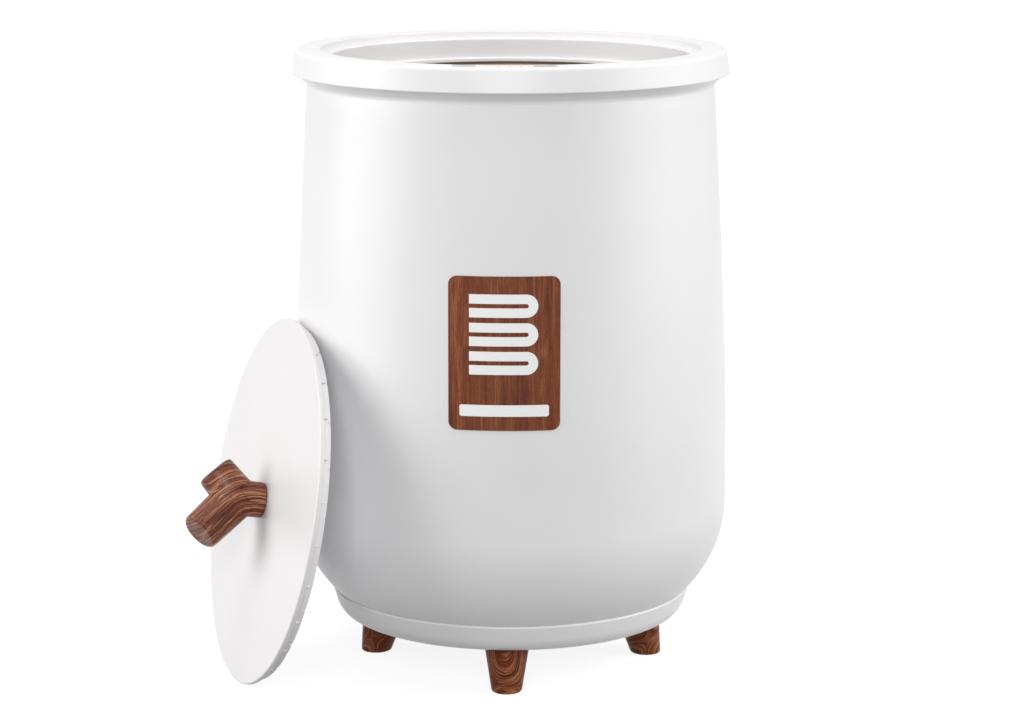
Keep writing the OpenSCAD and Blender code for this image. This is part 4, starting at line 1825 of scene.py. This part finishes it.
@dataclass
class BranchHandle:
    """The handle: a short length of forked branch with two clean cut ends."""

    stem_r: float = 13.2
    stem_l: float = 26.0
    knot_r: float = 13.6
    fork_turn: float = 31.0
    upper: Limb = (-2.0, 21.5, -48.0, 23.0, 15.4, 14.2)
    lower: Limb = (1.0, 20.5, 47.5, 40.0, 15.6, 14.6)
    pith: Triple = (58.0, -14.0, 0.0)
    bend_r: float = 34.0
    voxel: float = 0.7
    smooth_steps: int = 22
    cut_edge: float = 1.5
    stem_from: float = 0.05

    def limb(self, sizes: Limb) -> bmesh.types.BMesh:
        """One limb with its cut end.

        Args:
            sizes: Start across and out, angle, length, first and last radius.

        Returns:
            The closed mesh in the lid's frame.
        """
        x, z, angle, length, first, last = sizes
        outline = [
            (0, 0),
            (first, 0),
            (last, length - self.cut_edge),
            (last - self.cut_edge, length),
            (0, length),
        ]
        return turned(lathe(outline, 96), spin(self.fork_turn) @ moved_by(x, 0, z) @ spin(angle, "Y"))

    def shape(self) -> bmesh.types.BMesh:
        """The whole branch in one skin, its joints filled and softened."""
        whole = bmesh.new()
        stem = rod(self.stem_r, self.stem_from, self.stem_l, 96)
        knot = arc((0, self.stem_l - 1), self.knot_r, -90, 90, 24)
        knot = [(0, knot[0][1])] + knot[1:-1] + [(0, knot[-1][1])]
        for part in (stem, lathe(knot, 96), self.limb(self.upper), self.limb(self.lower)):
            join(whole, part, Matrix.Identity(4))
        work = as_object("branch_work", whole)
        skin = work.modifiers.new("skin", "REMESH")
        skin.mode = "VOXEL"
        skin.voxel_size = self.voxel * MM
        soften = work.modifiers.new("soften", "SMOOTH")
        soften.factor = 0.5
        soften.iterations = self.smooth_steps
        mesh = finished_mesh(work)
        discard(work)
        return mesh

    def in_wood(self, point: Vector) -> Vector:
        """Where a point lies in the tree.

        The grain runs out along the stem, then bends down the lower limb round one point.

        Args:
            point: A point in the lid's frame, in millimetres.

        Returns:
            The place in the wood.
        """
        angle = math.radians(self.lower[2])
        turn = math.radians(self.fork_turn)
        down = point.x * math.cos(turn) + point.y * math.sin(turn)
        side = point.y * math.cos(turn) - point.x * math.sin(turn)
        lead = self.bend_r * math.tan(angle / 2)
        over = self.lower[0] + self.bend_r - down
        above = point.z - self.lower[1] + lead
        start = self.lower[1] - lead
        swing = math.atan2(above, over)
        if swing <= 0:
            place = Vector((self.bend_r - over, side, point.z))
        elif swing <= angle:
            place = Vector((self.bend_r - math.hypot(above, over), side, start + self.bend_r * swing))
        else:
            across = self.bend_r - over * math.cos(angle) - above * math.sin(angle)
            ahead = above * math.cos(angle) - over * math.sin(angle)
            place = Vector((across, side, start + self.bend_r * angle + ahead))
        return place + Vector(self.pith)

    def build(self, shop: Workshop, matrix: Matrix) -> None:
        """Builds the handle on the lid.

        Args:
            shop: The workshop.
            matrix: The lid's frame.
        """
        mesh = self.shape()
        places = [self.in_wood(vert.co / MM) for vert in mesh.verts]
        mesh.transform(matrix)
        piece = shop.add("branch_handle", mesh, Slot.BRANCH, Body.LID, ["lid_handle"], crease=70)
        grain_from(piece, places)


@dataclass
class InnerWorks:
    """The CAD nodes that stay as they are, each with its finish."""

    slots: dict[Slot, list[str]] = field(
        default_factory=lambda: {
            Slot.INNER: ["base_cover", "tub_posts", "lid_cap"],
            Slot.LID: ["lid_skirt"],
            Slot.STEEL: [
                "cover_screws",
                "ring_screws",
                "foot_bolts",
                "foot_washers",
                "clamp_plate",
                "clamp_nut",
                "board_screws",
                "control_screws",
                "lid_screw",
                "lid_washer",
            ],
            Slot.BRASS: ["foot_inserts"],
            Slot.SILICONE: ["side_heater", "base_heater", "heater_lead"],
            Slot.FELT: ["side_insulation", "base_insulation", "lid_foam"],
            Slot.BLACK: ["gland_nut", "thermostat", "power_switch", "timer_switch", "control_cable"],
            Slot.BOARD: ["power_board", "control_board"],
            Slot.PARTS: [
                "relay",
                "transformer",
                "capacitor",
                "terminal_blocks",
                "thermal_fuse",
                "power_plunger",
                "timer_plunger",
            ],
        }
    )
    own_finishes: dict[str, Metal | Soft] = field(
        default_factory=lambda: {
            "lid_panel": Metal("pale_panel_metal", shade(212, 213, 216), 0.42),
            "seal_ring": Soft("brown_seal_silicone", shade(92, 80, 70), 1.1, 0.02, 0.55),
        }
    )

    def build(self, shop: Workshop) -> None:
        """Dresses every node that stays.

        Args:
            shop: The workshop.
        """
        for slot, nodes in self.slots.items():
            for node in nodes:
                shop.dress(node, shop.finishes.get(slot))
        for node, finish in self.own_finishes.items():
            shop.dress(node, finish.make())
        log.info("inner works: %d nodes dressed", sum(len(nodes) for nodes in self.slots.values()))


# ---------------------------------------------------------------- the studio


@dataclass
class SoftBox:
    """One large soft lamp that faces the bucket."""

    name: str
    place: Triple
    width: float
    height: float
    power: float
    aim: Triple = (0, 0, 0.25)

    def build(self) -> None:
        """Hangs the lamp."""
        data = bpy.data.lights.new(self.name, "AREA")
        data.shape = "RECTANGLE"
        data.size = self.width
        data.size_y = self.height
        data.energy = self.power
        lamp = bpy.data.objects.new(self.name, data)
        lamp.location = self.place
        lamp.rotation_euler = (Vector(self.aim) - Vector(self.place)).to_track_quat("-Z", "Y").to_euler()
        bpy.context.scene.collection.objects.link(lamp)


@dataclass
class Studio:
    """The plain pale floor, the soft light and the camera."""

    ambient: float = 0.13
    floor_colour: float = 0.3
    floor_glow: float = 0.87
    glow_from: float = 420.0
    glow_to: float = 900.0
    floor_half: float = 9.0
    eye: Triple = (0.06475, -2.22011, 0.66049)
    tilt: float = 78.996
    swing: float = 1.6566
    lens: float = 106.6
    lamps: list[SoftBox] = field(
        default_factory=lambda: [
            SoftBox("left_low", (-2.2, -0.3, 0.7), 1.8, 2.0, 34.0),
            SoftBox("left_high", (-2.4, -0.8, 1.7), 1.6, 1.6, 12.0),
            SoftBox("right_low", (2.2, -0.3, 0.7), 1.8, 2.0, 23.0),
            SoftBox("right_high", (2.4, -0.3, 1.7), 1.6, 1.6, 12.0),
            SoftBox("right_back", (2.0, 0.9, 0.9), 1.6, 2.0, 8.0),
            SoftBox("front_high", (0, -3.0, 1.5), 1.8, 1.0, 42.0),
            SoftBox("top", (0, 0, 2.4), 1.6, 1.6, 21.0),
        ]
    )

    def seen(self, tree: bpy.types.NodeTree) -> Socket:
        """Adds nodes that give 1 for what the camera sees, straight, in gloss or through glass.

        Args:
            tree: The node tree.

        Returns:
            The socket.
        """
        path = tree.nodes.new("ShaderNodeLightPath")
        total = path.outputs["Is Camera Ray"]
        for name in ("Is Glossy Ray", "Is Transmission Ray"):
            larger = tree.nodes.new("ShaderNodeMath")
            larger.operation = "MAXIMUM"
            tree.links.new(total, larger.inputs[0])
            tree.links.new(path.outputs[name], larger.inputs[1])
            total = larger.outputs[0]
        return total

    def light_world(self) -> None:
        """Sets the even light from all round, and the white that is seen behind."""
        world = bpy.data.worlds.new("studio")
        bpy.context.scene.world = world
        world.use_nodes = True
        tree = world.node_tree
        tree.nodes.clear()
        even = tree.nodes.new("ShaderNodeBackground")
        even.inputs["Strength"].default_value = self.ambient
        white = tree.nodes.new("ShaderNodeBackground")
        for ground in (even, white):
            ground.inputs["Color"].default_value = (1, 1, 1, 1)
        white.inputs["Strength"].default_value = 1.0
        both = tree.nodes.new("ShaderNodeMixShader")
        tree.links.new(self.seen(tree), both.inputs[0])
        tree.links.new(even.outputs[0], both.inputs[1])
        tree.links.new(white.outputs[0], both.inputs[2])
        output = tree.nodes.new("ShaderNodeOutputWorld")
        tree.links.new(both.outputs[0], output.inputs["Surface"])

    def lay_floor(self) -> None:
        """Lays the pale floor, which shows white but keeps the bucket's shadow."""
        mesh = bmesh.new()
        half = self.floor_half
        corners = [(-half, -half, 0), (half, -half, 0), (half, half, 0), (-half, half, 0)]
        mesh.faces.new([mesh.verts.new(corner) for corner in corners])
        floor = as_object("studio_floor", mesh)
        recipe = Recipe("pale_floor")
        grain = recipe.noise(recipe.place(), 0.02, 3)
        pale = (self.floor_colour,) * 3
        recipe.surface(
            Base_Color=recipe.mix(grain, pale, tuple(part * 0.98 for part in pale)),
            Roughness=0.8,
            Specular_IOR_Level=0.0,
            Emission_Color=(1.0, 1.0, 1.0),
        )
        tree = recipe.material.node_tree
        away = recipe.vector("LENGTH", recipe.place((1, 1, 0)), (0, 0, 0))
        white = recipe.grade(away, self.glow_from, self.glow_to, self.floor_glow, 1.0)
        glow = recipe.sum("MULTIPLY", self.seen(tree), white)
        recipe.feed(recipe.shader, Emission_Strength=glow)
        floor.data.materials.append(recipe.material)

    def set_camera(self) -> None:
        """Sets the camera where the photograph was taken from."""
        data = bpy.data.cameras.new("photo_camera")
        data.lens = self.lens
        data.sensor_width = 36.0
        data.sensor_fit = "HORIZONTAL"
        data.clip_end = 50.0
        camera = bpy.data.objects.new("photo_camera", data)
        camera.location = self.eye
        camera.rotation_euler = (math.radians(self.tilt), 0, math.radians(self.swing))
        bpy.context.scene.collection.objects.link(camera)
        bpy.context.scene.camera = camera

    def build(self) -> None:
        """Sets up the whole studio."""
        self.set_camera()
        self.light_world()
        self.lay_floor()
        for lamp in self.lamps:
            lamp.build()
        bpy.context.scene.view_settings.view_transform = "Standard"
        log.info("studio: %d lamps", len(self.lamps))


def main() -> None:
    """Builds every sub-assembly in order."""
    logging.basicConfig(level=logging.INFO, format="%(message)s")
    Studio().build()
    shop = Workshop(Finishes())
    flank = Flank()
    rim, controls = Rim(), Controls()
    InnerWorks().build(shop)
    BodyShell(flank).build(shop)
    rim.build(shop, controls)
    controls.build(shop, rim.top)
    Collar().build(shop)
    Tub().build(shop)
    BaseRing().build(shop)
    Feet().build(shop)
    Badge(flank).build(shop)
    Lid(flank).build(shop)


if __name__ == "__main__":
    main()
